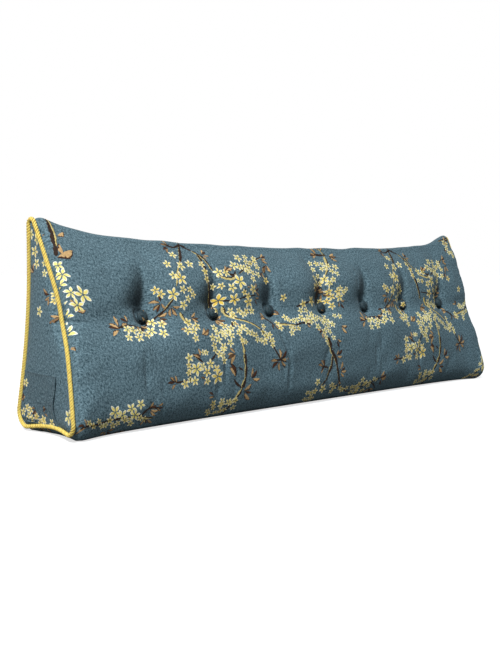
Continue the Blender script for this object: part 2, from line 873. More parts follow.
@dataclass(frozen=True)
class Tuft:
    """The dimple at a button, the fold above it, the tuck under it, and how they hide from the light."""

    seat_radius: float = 0.0150
    pinch: float = 0.005
    dimple_reach: float = 0.018
    dimple_wider: float = 0.008
    fold_depth: Pair = (0.030, 0.018)  # at the left end of the row and at the right
    fold_length: float = 0.130
    fold_off: float = 0.008
    fold_bow: float = 0.004
    fold_lean: float = 0.005
    soft_side: Pair = (0.018, 0.034)  # half width at the fold's top, and how much wider it starts
    sharp_side: Pair = (0.010, 0.004)
    fold_starts: Pair = (-0.004, 0.030)
    tuck_depth: float = 0.006
    tuck_half: float = 0.010
    tuck_starts: Pair = (-0.004, -0.016)
    tuck_reach: float = 0.030
    shade_soft: Pair = (0.016, 0.026)
    shade_sharp: float = 0.0045
    shade_starts: Pair = (-0.006, 0.010)
    shade_fades: float = 0.40
    rim_shade: float = 0.75
    narrower_right: Pair = (0.4, 0.45)  # how much of the soft side's width and shade is lost at the right end
    paler_right: float = 0.38

    def pressed(self, across: Array, up: Array, along: float, tie: float) -> tuple[Array, Array]:
        """Presses the cloth in round one button.

        Args:
            across: how far to the right of the button each point lies.
            up: how far up the front from it each point lies.
            along: where the button is, from 0 at the left end to 1 at the right.
            tie: how far the button is pulled in.

        Returns:
            How far each point is drawn in, and how hidden from the light it is.
        """
        r = np.hypot(across, up)
        rise = np.clip(up / (r + 1e-9), -1, 1)
        past = np.maximum(r - self.seat_radius, 0)
        reach = self.dimple_reach + self.dimple_wider * (1 - rise ** 2)
        reach = reach + self.dimple_wider * np.clip(rise, 0, 1)
        dimple = tie * (0.5 * bell(past, self.pinch, 1.2) + 0.5 * bell(past, reach, 1.3))
        t = np.clip(up / self.fold_length, 0, 1)
        aside = across - self.fold_off - self.fold_bow * np.sin(math.pi * t) + self.fold_lean * t
        soft, sharp = self.soft_side, self.sharp_side
        width = np.where(aside < 0, soft[0] + soft[1] * (1 - self.narrower_right[0] * along) * (1 - t),
                         sharp[0] + sharp[1] * (1 - t))
        fold = self.fold_depth[0] + (self.fold_depth[1] - self.fold_depth[0]) * along
        fold = fold * np.sin(math.pi * 0.5 * (1 - t)) ** 1.4 * bell(aside, width, 2.0)
        fold *= smooth_step(*self.fold_starts, up)
        tuck = self.tuck_depth * bell(across, self.tuck_half, 1.3) * smooth_step(*self.tuck_starts, up)
        tuck *= bell(up - self.tuck_starts[1], self.tuck_reach)
        reach = self.shade_soft[0] + self.shade_soft[1] * np.sin(math.pi * np.clip(1.5 * t, 0, 1)) ** 2
        reach = np.where(aside < 0, reach * (1 - self.narrower_right[1] * along), self.shade_sharp)
        dark = bell(aside, reach, 1.7) * (1 - smooth_step(self.shade_fades, 1.0, t))
        dark *= smooth_step(*self.shade_starts, up)
        rim = self.rim_shade * bell(past, self.pinch, 1.6) * (r > self.seat_radius - 0.004)
        return dimple + fold + tuck, np.maximum(dark, rim) * (1 - self.paler_right * along)


@dataclass
class Cushion:
    """The stuffed wedge with its tufts, folds and end panels."""

    form: WedgeForm = field(default_factory=WedgeForm)
    rows: RowPlan = field(default_factory=RowPlan)
    settled: SettledCloth = field(default_factory=SettledCloth)
    fold_rows: RowPlan = RowPlan(ridge=4, above=20, below=20, toe=8, base=8, heel=4, back=26, first_step=0.03)
    fold_step: float = 0.0105
    calm_rows: tuple[Spot, ...] = ((0.247, 0.055, 0.85), (0.455, 0.045, 0.80))
    button_nodes: tuple[str, ...] = tuple(f"button_{i}" for i in range(1, 8))
    close_step: float = 0.003
    wide_step: float = 0.008
    close_half: float = 0.045
    tuft: Tuft = field(default_factory=Tuft)
    tied_margin: float = 0.004
    bay_swell: float = 0.0075
    bay_place: Pair = (0.02, 0.085)  # how far above the row its middle lies, and its reach
    row_pull: float = 0.0035
    row_place: Pair = (-0.005, 0.020)
    end_bay: float = 0.02
    unevenness: float = 0.0016
    pucker: float = 0.0011
    panel_inset: float = 0.007
    panel_swell: float = 0.004
    panel_rings: int = 14
    panel_flat: float = 0.72  # share of the way out to the seam where the panel starts to turn
    wrap_corner: Pair = (0.8, 0.06)
    panel_corner: Spot = (0.35, 0.95, 1.40)
    creases: tuple[tuple[float, ...], ...] = (  # x, z at one end; x, z at the other; depth; half width
        (-0.160, 0.208, -0.126, 0.096, 0.0046, 0.007),
        (-0.127, 0.124, -0.142, 0.040, 0.0046, 0.007),
        (-0.165, 0.080, -0.180, 0.036, 0.0030, 0.007),
        (-0.105, 0.455, -0.085, 0.395, 0.0014, 0.007),
        (-0.040, 0.440, -0.010, 0.400, 0.0012, 0.007),
        (-0.742, 0.245, -0.680, 0.236, 0.0045, 0.005),
        (-0.742, 0.300, -0.705, 0.318, 0.0025, 0.005),
        (-0.742, 0.335, -0.712, 0.352, 0.0022, 0.005),
        (-0.740, 0.150, -0.700, 0.156, 0.0022, 0.005),
        (-0.738, 0.128, -0.690, 0.131, 0.0024, 0.005),
        (-0.738, 0.105, -0.705, 0.104, 0.0020, 0.005),
        (0.738, 0.250, 0.700, 0.236, 0.0030, 0.006),
    )

    def columns(self) -> Array:
        """Places of the columns along the length, close together at each button and end.

        Returns:
            (n,) places in metres, from the left end to the right.
        """
        half = self.form.length / 2
        centres = np.array([s.at[0] for s in self.seats()])
        bevel = self.form.bevel
        xs = [-half + bevel]
        while xs[-1] < half - bevel:
            near = np.min(np.abs(centres - xs[-1]))
            close = near < self.close_half or half - abs(xs[-1]) < 0.02
            xs.append(xs[-1] + (self.close_step if close else self.wide_step))
        xs = np.array(xs)
        return -half + bevel + (xs - xs[0]) * (2 * (half - bevel) / (xs[-1] - xs[0]))

    def seats(self) -> list[Seat]:
        """The seat of each button, from the frame's buttons and the form.

        Returns:
            The seats, in the order of the buttons' nodes.
        """
        found = []
        for node in self.button_nodes:
            x = float(np.mean(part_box(node), axis=0)[0])
            skin = self.form.skin(np.array([x]), self.rows)
            at = skin.points[0, self.rows.button_row] * (0, 1, 1) + (x, 0, 0)
            found.append(Seat(at - skin.out[0] * self.form.seat_depth, skin.out[0]))
        return found

    def _tufted(self, skin: Skin) -> tuple[Array, Array]:
        """Pulls the front down to the buttons, with the fold that rises from each, and swells the bays.

        Args:
            skin: the smooth surface.

        Returns:
            The points, and how hidden from the light each is.
        """
        points, form = skin.points, self.form
        depth, shade = np.zeros(points.shape[:2]), np.zeros(points.shape[:2])
        seats = self.seats()
        for seat in seats:
            away = points - (seat.at + seat.out * form.seat_depth)
            pressed, dark = self.tuft.pressed(away[..., 0], away @ seat.up, 0.5 + seat.at[0] / form.length,
                                              form.seat_depth)
            depth, shade = np.maximum(depth, pressed), np.maximum(shade, dark)
        far = form.length / 2 + self.end_bay
        marks = np.sort([s.at[0] for s in seats] + [-far, far])
        k = np.clip(np.searchsorted(marks, points[..., 0]) - 1, 0, len(marks) - 2)
        share = (points[..., 0] - marks[k]) / (marks[k + 1] - marks[k])
        above_row = points[..., 2] - form.button_height
        swell = self.bay_swell * np.sin(math.pi * share) ** 2
        swell = swell * bell(above_row - self.bay_place[0], self.bay_place[1])
        swell -= self.row_pull * bell(above_row - self.row_place[0], self.row_place[1])
        push = (swell - depth) * skin.front[None]
        return points + skin.out[:, None] * push[..., None], shade * skin.front[None]

    def _creased(self, skin: Skin) -> Array:
        """How far each point moves outward for soft creases, seam puckers and unevenness.

        Args:
            skin: the smooth surface.

        Returns:
            (n, m) metres.
        """
        points = skin.points
        push = np.zeros(points.shape[:2])
        for x0, z0, x1, z1, depth, half in self.creases:
            start, run = np.array([x0, z0]), np.array([x1 - x0, z1 - z0])
            flat = points[..., [0, 2]] - start
            t = np.clip((flat @ run) / (run @ run), 0, 1)
            gap = np.linalg.norm(flat - t[..., None] * run, axis=-1)
            fade = np.sqrt(np.sin(math.pi * np.clip(t, 0.02, 0.98)))
            push -= depth * fade * (bell(gap, half) - 0.35 * bell(gap, half * 2.6))
        push *= skin.front[None]
        push += self.unevenness * (swells(points, 0.13, 5) + 0.4 * swells(points, 0.045, 6))
        inset = self.form.length / 2 - np.abs(points[..., 0])
        push += self.pucker * swells(points[..., 1:], 0.022, 8) * bell(inset, 0.020, 1.5)
        return push * np.clip(inset / 0.012, 0, 1) * smooth_step(0.0, 0.02, points[..., 2])

    @staticmethod
    def _normals(points: Array) -> Array:
        """Outward directions of the grid, which closes round the girth."""
        closed = np.concatenate([points[:, -1:], points, points[:, :1]], 1)
        return unit(np.cross((closed[:, 2:] - closed[:, :-2]) / 2, np.gradient(points, axis=0)))

    @staticmethod
    def _girth(points: Array, rows: RowPlan) -> Array:
        """Length of cloth from the ridge to each row, and on to where the rows close.

        Args:
            points: (n, m, 3) the surface.
            rows: how the points are spread round the girth.

        Returns:
            (n, m + 1) metres.
        """
        closed = np.concatenate([points, points[:, :1]], 1)
        steps = np.linalg.norm(np.diff(closed, axis=1)[..., 1:], axis=-1)
        run = np.concatenate([np.zeros((len(points), 1)), np.cumsum(steps, 1)], 1)
        return run - run[:, rows.ridge // 2][:, None]

    def panel_map(self, end: int, points: Array) -> Array:
        """Where points of an end panel lie on the cloth, in metres."""
        left, right, low = self.panel_corner
        return np.stack([(left if end < 0 else right) + end * points[:, 1], low + points[:, 2]], -1)

    def wrap_map(self, x: Array, girth: Array) -> Array:
        """Where points of the wrap lie on the cloth, in metres."""
        return np.stack(np.broadcast_arrays(x + self.wrap_corner[0], girth + self.wrap_corner[1]), -1)

    def _folds(self, skin: Skin) -> Array:
        """Small folds of the settled cloth, worked out on a wider grid and carried to the skin.

        Args:
            skin: the smooth surface.

        Returns:
            (n, m, 3) how far the folds move each point.
        """
        inner = self.form.length / 2 - self.form.bevel
        xs = np.linspace(-inner, inner, int(2 * inner / self.fold_step))
        wide = self.form.skin(xs, self.fold_rows)
        drawn, _ = self._tufted(wide)
        tied = np.zeros(drawn.shape[:2], bool)
        for seat in self.seats():
            tied |= np.linalg.norm(drawn - seat.at, axis=-1) < self.tuft.seat_radius + self.tied_margin
        tied |= wide.points[..., 2] < self.form.bevel
        tied[[0, 1, -2, -1]] = True
        folds = self.settled.folds(wide.points, drawn, tied)
        for height, reach, share in self.calm_rows:
            folds *= 1 - share * bell(wide.points[..., 2:] - height, reach)
        grids = ((wide.points, self.fold_rows), (self.form.skin(xs, self.rows).points, self.rows))
        shares = [girth[:, :-1] / girth[:, -1:] for girth in (self._girth(*grid) for grid in grids)]
        carried = np.empty((len(xs), shares[1].shape[1], 3))
        for i in range(len(xs)):
            for axis in range(3):
                carried[i, :, axis] = np.interp(shares[1][i], shares[0][i], folds[i, :, axis], period=1.0)
        across = (skin.points[..., 0].mean(1) + inner) / (2 * inner) * (len(xs) - 1)
        across = np.clip(across, 0, len(xs) - 1.001)
        low = across.astype(int)
        part = (across - low)[:, None, None]
        return carried[low] * (1 - part) + carried[low + 1] * part

    def build(self) -> Object:
        """Builds the cushion with its cloth map and finish.

        Returns:
            The cushion.
        """
        skin = self.form.skin(self.columns(), self.rows)
        tufted, shade = self._tufted(skin)
        points = tufted + self._normals(skin.points) * self._creased(skin)[..., None]
        points += self._folds(skin)
        points[..., 2] = np.maximum(points[..., 2], 0.0)
        obj = self._join(points, self._girth(skin.points, self.rows))
        panels = len(obj.data.vertices) - shade.size
        set_fact(obj.data, "drawn_in", np.pad(shade.ravel(), (0, panels)))
        obj.data.materials.append(GROUND.make())
        return obj

    def _join(self, points: Array, girth: Array) -> Object:
        """Joins the wrap and the two end panels into one closed mesh.

        Args:
            points: (n, m, 3) the finished wrap.
            girth: (n, m + 1) length of cloth down to each row.

        Returns:
            The cushion.
        """
        n, m = points.shape[:2]
        flat = self.wrap_map(points[:, [*range(m), 0], 0], girth)
        i, j = np.divmod(np.arange((n - 1) * m), m)
        maps = [np.stack([flat[i, j], flat[i, j + 1], flat[i + 1, j + 1], flat[i + 1, j]], 1).reshape(-1, 2)]
        vertices, faces = [points.reshape(-1, 3)], tube_faces(n, m).tolist()
        rim = self.panel_rings * m + np.arange(m)
        tip = np.full(m, rim[-1] + 1)
        for end in (-1, 1):
            outer = np.arange(m) + (n - 1) * m * (end > 0)
            block = self._panel(end)
            ids = np.concatenate([outer, sum(map(len, vertices)) + np.arange(len(block))])
            where = self.panel_map(end, np.concatenate([vertices[0][outer], block]))
            quads = tube_faces(self.panel_rings + 1, m)[:, (0, 3, 2, 1) if end < 0 else (1, 2, 3, 0)]
            fans = np.stack([tip, *(rim, np.roll(rim, -1))[::end]], 1)
            for part in (quads, fans):
                faces += ids[part].tolist()
                maps.append(where[part].reshape(-1, 2))
            vertices.append(block)
        obj = mesh_object("stuffed_cushion", np.concatenate(vertices), faces)
        set_cloth_map(obj.data, np.concatenate(maps))
        return obj

    def _panel(self, end: int) -> Array:
        """The end panel's rings, from the seam in to its middle point.

        Args:
            end: -1 for the left end, 1 for the right.

        Returns:
            (k, 3) points, with the middle one last.
        """
        edge, out = self.form.end_edge(end, self.rows)
        inner = edge - out * self.form.bevel
        centre = inner.mean(0) * (0, 1, 1) + (end * (self.form.length / 2 - self.panel_inset), 0, 0)
        rings = []
        for r in range(self.panel_rings):
            t = 1 - r / self.panel_rings
            ring = centre + (inner - centre) * t
            rim = smooth_step(self.panel_flat, 1.0, np.array(t))
            ring[:, 0] = centre[0] + (inner[:, 0] - centre[0]) * rim + end * self.panel_swell * (1 - t ** 2)
            rings.append(ring)
        return np.concatenate(rings + [centre[None] + (end * self.panel_swell, 0, 0)])


# ---------------------------------------------------------------- the woven sprays

class Kind(Enum):
    """The motifs that the cloth is woven with."""

    BLOSSOM = "blossoms"
    LEAF = "leaves"


@dataclass(frozen=True)
class Scatter:
    """Flat places of one kind of motif: (n, 2) metres, with turn, size and depth for each."""

    at: Array
    turn: Array
    size: Array
    depth: Array

    def shifted(self, dx: float, dv: float) -> "Scatter":
        """The same motifs, moved on the cloth."""
        return replace(self, at=self.at + (dx, dv))

    def where(self, kept: Array) -> "Scatter":
        """Only some of the motifs."""
        return Scatter(self.at[kept], self.turn[kept], self.size[kept], self.depth[kept])

    @staticmethod
    def joined(parts: list["Scatter"]) -> "Scatter":
        """All the motifs of several scatters."""
        facts = ("at", "turn", "size", "depth")
        return Scatter(*(np.concatenate([getattr(p, f) for p in parts]) for f in facts))


# x and drop are centimetres along the pillow and down from the ridge; one repeat is 80 by 60.
BLOSSOMS = (  # x, drop; half across, half down and how many, unless it is a lone one; radius, gold
    (-57.3, 24.8, 3.4, 1.5, 9, 1.2, 0.2), (-51.6, 23, 2.3, 1.7, 6, 1.35, 0.1),
    (-45.2, 9.2, 0.9, 2, 3, 1.35, 0.3), (-42.5, 6.6, 0.9, 2.3, 3, 1.35, 0.3), (-39, 7.7, 1.45, 0.3),
    (-43.2, 11.6, 0.3, 0.3, 1, 1.75, 0.4), (-42.3, 15.3, 1.7, 1.6, 5, 1.25, 0.4), (-44, 18, 1.4, 0.4),
    (-46.4, 15.6, 0.3, 0.3, 1, 1.8, 0.6), (-49.9, 14.8, 1.1, 0.8, 3, 1.45, 0.6),
    (-43, 23.8, 1.7, 2.4, 7, 1.2, 0.3), (-35, 9.3, 0.7, 2.2, 4, 1.25, 0.5),
    (-30.9, 10.2, 1.7, 0.9, 3, 1.35, 0.4), (-32.4, 13.1, 0.9, 0.4, 2, 1.25, 0.5),
    (-25.8, 8.2, 0.3, 0.3, 1, 1.65, 0.3), (-23, 5.6, 1.35, 0.3), (-22.6, 8.7, 1.6, 1.4, 4, 1.5, 0.3),
    (-19.4, 6, 2, 1.1, 6, 1.3, 0.3), (-20.6, 10.3, 2.1, 1.3, 6, 1.3, 0.3),
    (-17.2, 6.8, 0.8, 1.6, 3, 1.2, 0.4), (-26, 12.5, 2.05, 0.4), (-28.7, 13.9, 1.45, 0.4),
    (-28.4, 16.7, 1.6, 0.7), (-25, 15.6, 0.9, 0.8, 3, 1.45, 0.8), (-22, 14.3, 1.4, 0.5),
    (-24, 17.5, 1.6, 0.7), (-15.5, 11.6, 1.1, 0.8), (-11.3, 16.4, 1.35, 0.6),
    (-27.6, 19.6, 2.7, 1, 7, 1.1, 0.4), (-23, 19.6, 1.15, 0.4), (-35.3, 24.3, 1.2, 1.2, 4, 1.35, 0.3),
    (-31, 24, 2.8, 2, 11, 1.25, 0.3), (-27.2, 24.4, 0.8, 0.8, 2, 1.25, 0.3),
    (-34.2, 26.8, 2, 1.5, 6, 1.25, 0.3), (-37.4, 26.8, 0.8, 1, 3, 1.3, 0.3),
    (-28.2, 27, 0.6, 0.6, 2, 1.1, 0.3), (-36.6, 29.2, 0.9, 0.9, 3, 1.25, 0.3),
    (-34.5, 29.6, 0.9, 1, 3, 1.25, 0.3), (-34.7, 31.6, 1.15, 0.3), (-40.6, 29.2, 0.5, 0.5, 2, 1.25, 0.3),
    (-45, 30.4, 1.25, 0.3), (-45.1, 33.6, 0.5, 2.2, 5, 0.95, 0.3), (-43, 33, 1.7, 0.3),
    (-39.4, 32.6, 2.3, 1.3, 6, 1.35, 0.4), (-37, 35, 1.95, 0.6), (-43.6, 35.7, 1.25, 0.4),
    (-46.6, 36.3, 0.3, 0.3, 1, 1.35, 0.5), (-40, 35.8, 1.1, 0.4), (-24.9, 25.8, 0.9, 0.7, 3, 1.15, 0.3),
    (-23.2, 27.2, 0.7, 0.6, 2, 1.15, 0.3), (-21.3, 26.2, 1, 1.4, 4, 1.25, 0.3),
    (-19.2, 26.6, 0.7, 0.9, 3, 1.2, 0.3), (-20.8, 23.8, 1, 0.3), (-19, 28.7, 0.9, 0.3),
    (-15.2, 23.6, 0.9, 0.7, 3, 1.1, 0.3), (-11.8, 21.6, 1.15, 0.2), (-10, 23.4, 1.7, 1.9, 9, 1.1, 0.2),
    (-11.5, 25.9, 1, 0.2), (-5, 18.4, 1.35, 0.5), (-1.2, 17.5, 1.7, 0.9), (-5, 21.6, 2.3, 2, 9, 1.3, 0.2),
    (-2.3, 22.8, 1.7, 2.2, 7, 1.3, 0.2), (-36.6, 41.8, 1.6, 0.6, 3, 1.6, 0.4),
    (-34, 41.3, 1.2, 0.8, 3, 1.6, 0.2), (-36.3, 43.6, 2.9, 1.3, 10, 1.45, 0.5),
    (-31.3, 42.2, 1.2, 1.2, 4, 1.5, 0.3), (3.2, 7.2, 0.8, 1.3, 3, 1.45, 0.2),
    (6, 7.8, 1.6, 1.4, 5, 1.45, 0.2), (9.8, 8.6, 1.3, 2.1, 6, 1.45, 0.2),
    (3.4, 11.5, 1.7, 1.3, 5, 1.4, 0.3), (6.6, 12, 1.7, 1.1, 4, 1.4, 0.3), (1.3, 13.8, 1.3, 0.6),
    (7.6, 15.4, 2, 1.2, 4, 1.6, 0.7), (11, 14.8, 1.4, 0.8, 4, 1.45, 0.4), (9.6, 16.9, 1.5, 0.6),
    (5, 17.4, 0.8, 0.5, 2, 1.45, 0.9), (7, 19, 1.3, 0.6), (7.4, 22, 1, 0.6, 2, 1.45, 0.1),
    (2.4, 23.6, 2.5, 2.3, 11, 1.35, 0.1), (1.6, 27.2, 2.1, 1.6, 7, 1.25, 0.2),
    (-2.6, 39, 0.3, 0.3, 1, 1.2, 0.4), (-5.3, 41.8, 0.7, 0.4, 2, 1.3, 0.5), (-3, 41.7, 1.2, 0.5),
    (-0.2, 41.2, 1.5, 0.5), (-4.5, 43.9, 1.7, 0.9, 5, 1.25, 0.5), (3.7, 41.5, 1, 1.3, 4, 1.3, 0.5),
    (8.2, 42.1, 1.8, 0.8, 4, 1.2, 0.6), (12.8, 42.3, 0.9, 0.5, 2, 1.35, 0.6),
    (15.8, 41.8, 1.5, 1.7, 6, 1.4, 0.5), (18.6, 42, 1.1, 1, 4, 1.3, 0.4),
    (21.2, 40.6, 0.8, 0.5, 2, 1.25, 0.3), (15.5, 44.2, 2.6, 0.9, 6, 1.25, 0.6),
    (-61, 50.5, 3.5, 2, 9, 1.35, 0.4), (-8.5, 52.5, 3, 2.5, 9, 1.35, 0.4), (-26, 54, 4, 1.8, 9, 1.3, 0.3),
    (8, 55, 3, 1.5, 6, 1.3, 0.3),
)
LEAVES = (  # x, drop, heading in degrees (0 is along +x, 90 is down), fan, how many, length, depth
    (-61.3, 23.7, 190, 90, 4, 2.1, 0.2), (-58.6, 22.1, 200, 70, 3, 1.7, 0.3),
    (-56, 22.3, 60, 120, 3, 1.7, 0.4), (-50.6, 20.5, 20, 70, 3, 1.9, 0.2),
    (-52.2, 20.7, 160, 60, 2, 1.5, 0.3), (-49.6, 17.3, 150, 150, 5, 1.9, 0.8),
    (-47.6, 18.2, 50, 90, 4, 2.1, 0.5), (-42.4, 20.9, 0, 80, 3, 1.7, 0.3),
    (-44.5, 23.7, 190, 30, 1, 1.6, 0.1), (-40.8, 25.4, -30, 50, 3, 2.1, 0.3),
    (-42.8, 2.1, 170, 110, 4, 1.8, 0.8), (-34, 4.6, -10, 110, 4, 1.5, 0.6),
    (-29.6, 9.6, -40, 60, 3, 2, 0.3), (-15.3, 5.4, -10, 80, 4, 1.8, 0.6),
    (-14.2, 7.2, 110, 50, 3, 2.2, 0.3), (-16.5, 9.2, 100, 30, 2, 1.6, 0.4),
    (-21.3, 14.4, -30, 100, 3, 1.6, 0.7), (-21.8, 16.2, 30, 80, 2, 1.5, 0.4),
    (-33.4, 20.8, 30, 120, 4, 1.7, 0.4), (-29.8, 21.6, 80, 60, 2, 1.5, 0.3),
    (-31.2, 30, 170, 90, 4, 2.4, 0.4), (-31.3, 35.6, 240, 30, 2, 3.4, 0.5),
    (-26.6, 36.2, -40, 70, 3, 2.4, 0.3), (-29, 38.9, 10, 70, 3, 2.4, 0.2),
    (-16.8, 32.3, -20, 120, 4, 2.3, 0.5), (-17.2, 32.6, 130, 100, 3, 2.2, 0.8),
    (-41.8, 30.6, 230, 60, 3, 1.8, 0.5), (-49, 35.8, 190, 110, 4, 1.9, 0.7),
    (-40.2, 35.4, 160, 60, 2, 1.3, 0.2), (-18.9, 21.4, 200, 80, 3, 1.5, 0.3),
    (-17, 22.8, 80, 60, 2, 1.5, 0.4), (-13.2, 20.7, 220, 80, 2, 1.4, 0.2), (-6, 23.4, 10, 80, 3, 1.6, 0.3),
    (7.4, 3.3, 190, 90, 4, 2.2, 0.7), (11.2, 4.2, 10, 90, 3, 2.5, 0.3), (9.2, 2, -80, 70, 3, 1.8, 0.6),
    (3, 14.2, -90, 170, 7, 1.8, 0.9), (5, 15, 20, 100, 4, 1.5, 0.8), (9.4, 17.8, 40, 80, 3, 1.6, 0.6),
    (-0.2, 25.8, 150, 70, 3, 1.9, 0.2), (7.4, 24.8, 20, 60, 3, 2.1, 0.2), (4.2, 28.2, 40, 60, 2, 1.6, 0.3),
    (-0.2, 35.3, 190, 120, 5, 1.9, 0.7), (5.6, 37, -20, 100, 4, 1.9, 0.4),
    (4.1, 32.8, -30, 60, 3, 1.9, 0.4), (5.5, 39.6, 60, 60, 2, 1.6, 0.5),
    (23.6, 40.6, -10, 100, 5, 1.9, 0.7), (20.5, 43.6, 70, 90, 4, 1.9, 0.5),
    (-37.5, 39.6, 200, 40, 2, 1.6, 0.4), (-24.6, 13.6, 60, 120, 2, 1.2, 0.5),
    (-60.5, 57.6, 30, 120, 5, 2, 0.6), (-3, 57, 200, 120, 5, 2, 0.5), (18, 57.8, 160, 100, 4, 1.9, 0.6),
)
TWIGS = (  # width at the start and end in millimetres; share of pale yarn; then x, drop of each bend
    (2.5, 1.8, 0.1, (-62.5, 23.8), (-58.5, 22.4), (-55, 23.2), (-51.5, 20.8), (-48.5, 18.6)),
    (4.5, 3, 0.2, (-38.6, -2), (-39.4, 2.4), (-40.4, 5), (-41.6, 7)),
    (3, 2, 0.9, (-41.6, 7), (-43.8, 10), (-45.4, 13.6)),
    (2.6, 1.6, 0.4, (-46.6, 16.4), (-48.4, 18.4), (-50.4, 20.4)),
    (4.6, 3, 0.95, (-45.2, 19.6), (-44.5, 21.6), (-43, 23.2)),
    (2.6, 2.6, 0, (-43.8, 1.6), (-41.2, 2.6), (-39, 1.2), (-36.2, 3.2)),
    (3.2, 2.4, 0.5, (-36.2, 3.2), (-34.2, 5.6), (-32.6, 9.4)),
    (3.8, 3.4, 0.3, (-35.2, 4.6), (-34.8, 8), (-34.7, 12), (-33.9, 15.6), (-33.3, 18.6)),
    (4.4, 3.2, 0.9, (-32.2, 10.6), (-29.8, 11.6), (-27.6, 11.6), (-26.4, 10.4)),
    (3.2, 2.4, 0.1, (-29.4, 9), (-28.6, 10.6), (-27, 10.8), (-26.2, 9.6)),
    (2.2, 1.8, 0.3, (-25.6, 10.4), (-22, 8.4), (-18.4, 6.2), (-14.6, 4.8)),
    (2, 1.6, 0, (-33, 16.6), (-28, 16.8), (-24.4, 15.8), (-21.2, 15.6)),
    (4.2, 2.4, 0.85, (-31.4, 18), (-31, 20), (-28.2, 21.4), (-24.2, 23), (-22.2, 24.4)),
    (2.4, 2, 0.1, (-22.2, 24.4), (-19.4, 28), (-18, 30.4), (-15, 34.4)),
    (2.4, 1.6, 0, (-18.6, 32.4), (-16.4, 32.2), (-14.6, 33)),
    (2.6, 3.8, 0.9, (-29, 25.6), (-28.6, 28), (-28.5, 30.2)),
    (5.4, 4.6, 0.45, (-28.5, 30.2), (-28.2, 33), (-28.3, 35.8), (-29.4, 38.2)),
    (4.4, 3, 0.6, (-29.4, 38.2), (-30.6, 40.2), (-32, 42)),
    (3.2, 2.2, 0, (-31.8, 36), (-30.6, 37.6), (-29.4, 38.2)), (3, 1.8, 0, (-29.2, 34), (-30.6, 33.2)),
    (2.8, 2.2, 0, (-37.2, 29.6), (-38.2, 30.8), (-39.8, 31.4)),
    (3, 2.2, 0.2, (-44, 29.4), (-42.6, 30.6), (-41.2, 31.6)),
    (2.4, 2, 0, (-50.6, 34.8), (-48.8, 35.8), (-47, 35.4), (-45.8, 35.2)),
    (2, 1.8, 0.3, (-45.2, 29.8), (-45.2, 33), (-45, 36)),
    (2.6, 2.2, 0, (-20.4, 21), (-18.2, 21.8), (-16.8, 23.6)),
    (3.4, 2.6, 0.9, (-15.6, 23.4), (-13, 23.4), (-9.6, 23.8)),
    (2.6, 2.2, 0.1, (-9.6, 23.8), (-7.2, 23.2), (-5, 23.4)),
    (2.4, 2, 0, (-7.4, 18.8), (-4, 18), (-1, 17.2), (1.6, 18)),
    (4, 5.4, 0, (5.8, 2.6), (8.2, 3.4), (10.6, 3.6)),
    (5.4, 3.4, 0.9, (9.8, 4.2), (9, 6.4), (7.6, 8.8), (6, 10.6)),
    (2.6, 2, 0.5, (6, 10.6), (4.8, 12.4), (3.6, 13.4)),
    (5, 4, 0.05, (3.4, 13), (3.2, 15.4), (1.6, 17.4), (0.8, 18.6)),
    (3, 2.4, 0.6, (9.2, 0), (9.9, 2), (10.2, 4)), (5.6, 4.4, 0.45, (1.3, 27.6), (2, 30), (2.9, 32.4)),
    (4, 3, 0.3, (2.9, 32.4), (2.6, 35.4), (1, 38.4), (-1.8, 40.6)),
    (4.4, 3.4, 0.2, (2.6, 31.4), (4.2, 33.6), (4.9, 37), (6.4, 40.8)),
    (3, 2, 0, (1.6, 35.8), (0, 35.2), (-1.6, 35)),
    (2.4, 2, 0.05, (6.4, 41), (11, 43.8), (15.6, 42.8), (19.6, 41.4), (24.6, 40.2)),
    (2.2, 1.8, 0, (19.6, 41.4), (22, 42.6), (23.6, 44.6)),
    (2.4, 2.4, 0.1, (-32, 42), (-33.4, 45.6), (-30, 50), (-26, 54)),
    (3.6, 3, 0.2, (-26, 54), (-32, 56.4), (-38.6, 58)),
    (3, 2, 0.2, (-66, 49), (-62, 51.6), (-59, 56), (-62, 58.8)),
    (3, 2, 0.3, (-10, 50), (-7, 53.6), (-3, 56.8), (2, 58)), (2.6, 2, 0.1, (2, 58), (9.2, 60)),
)
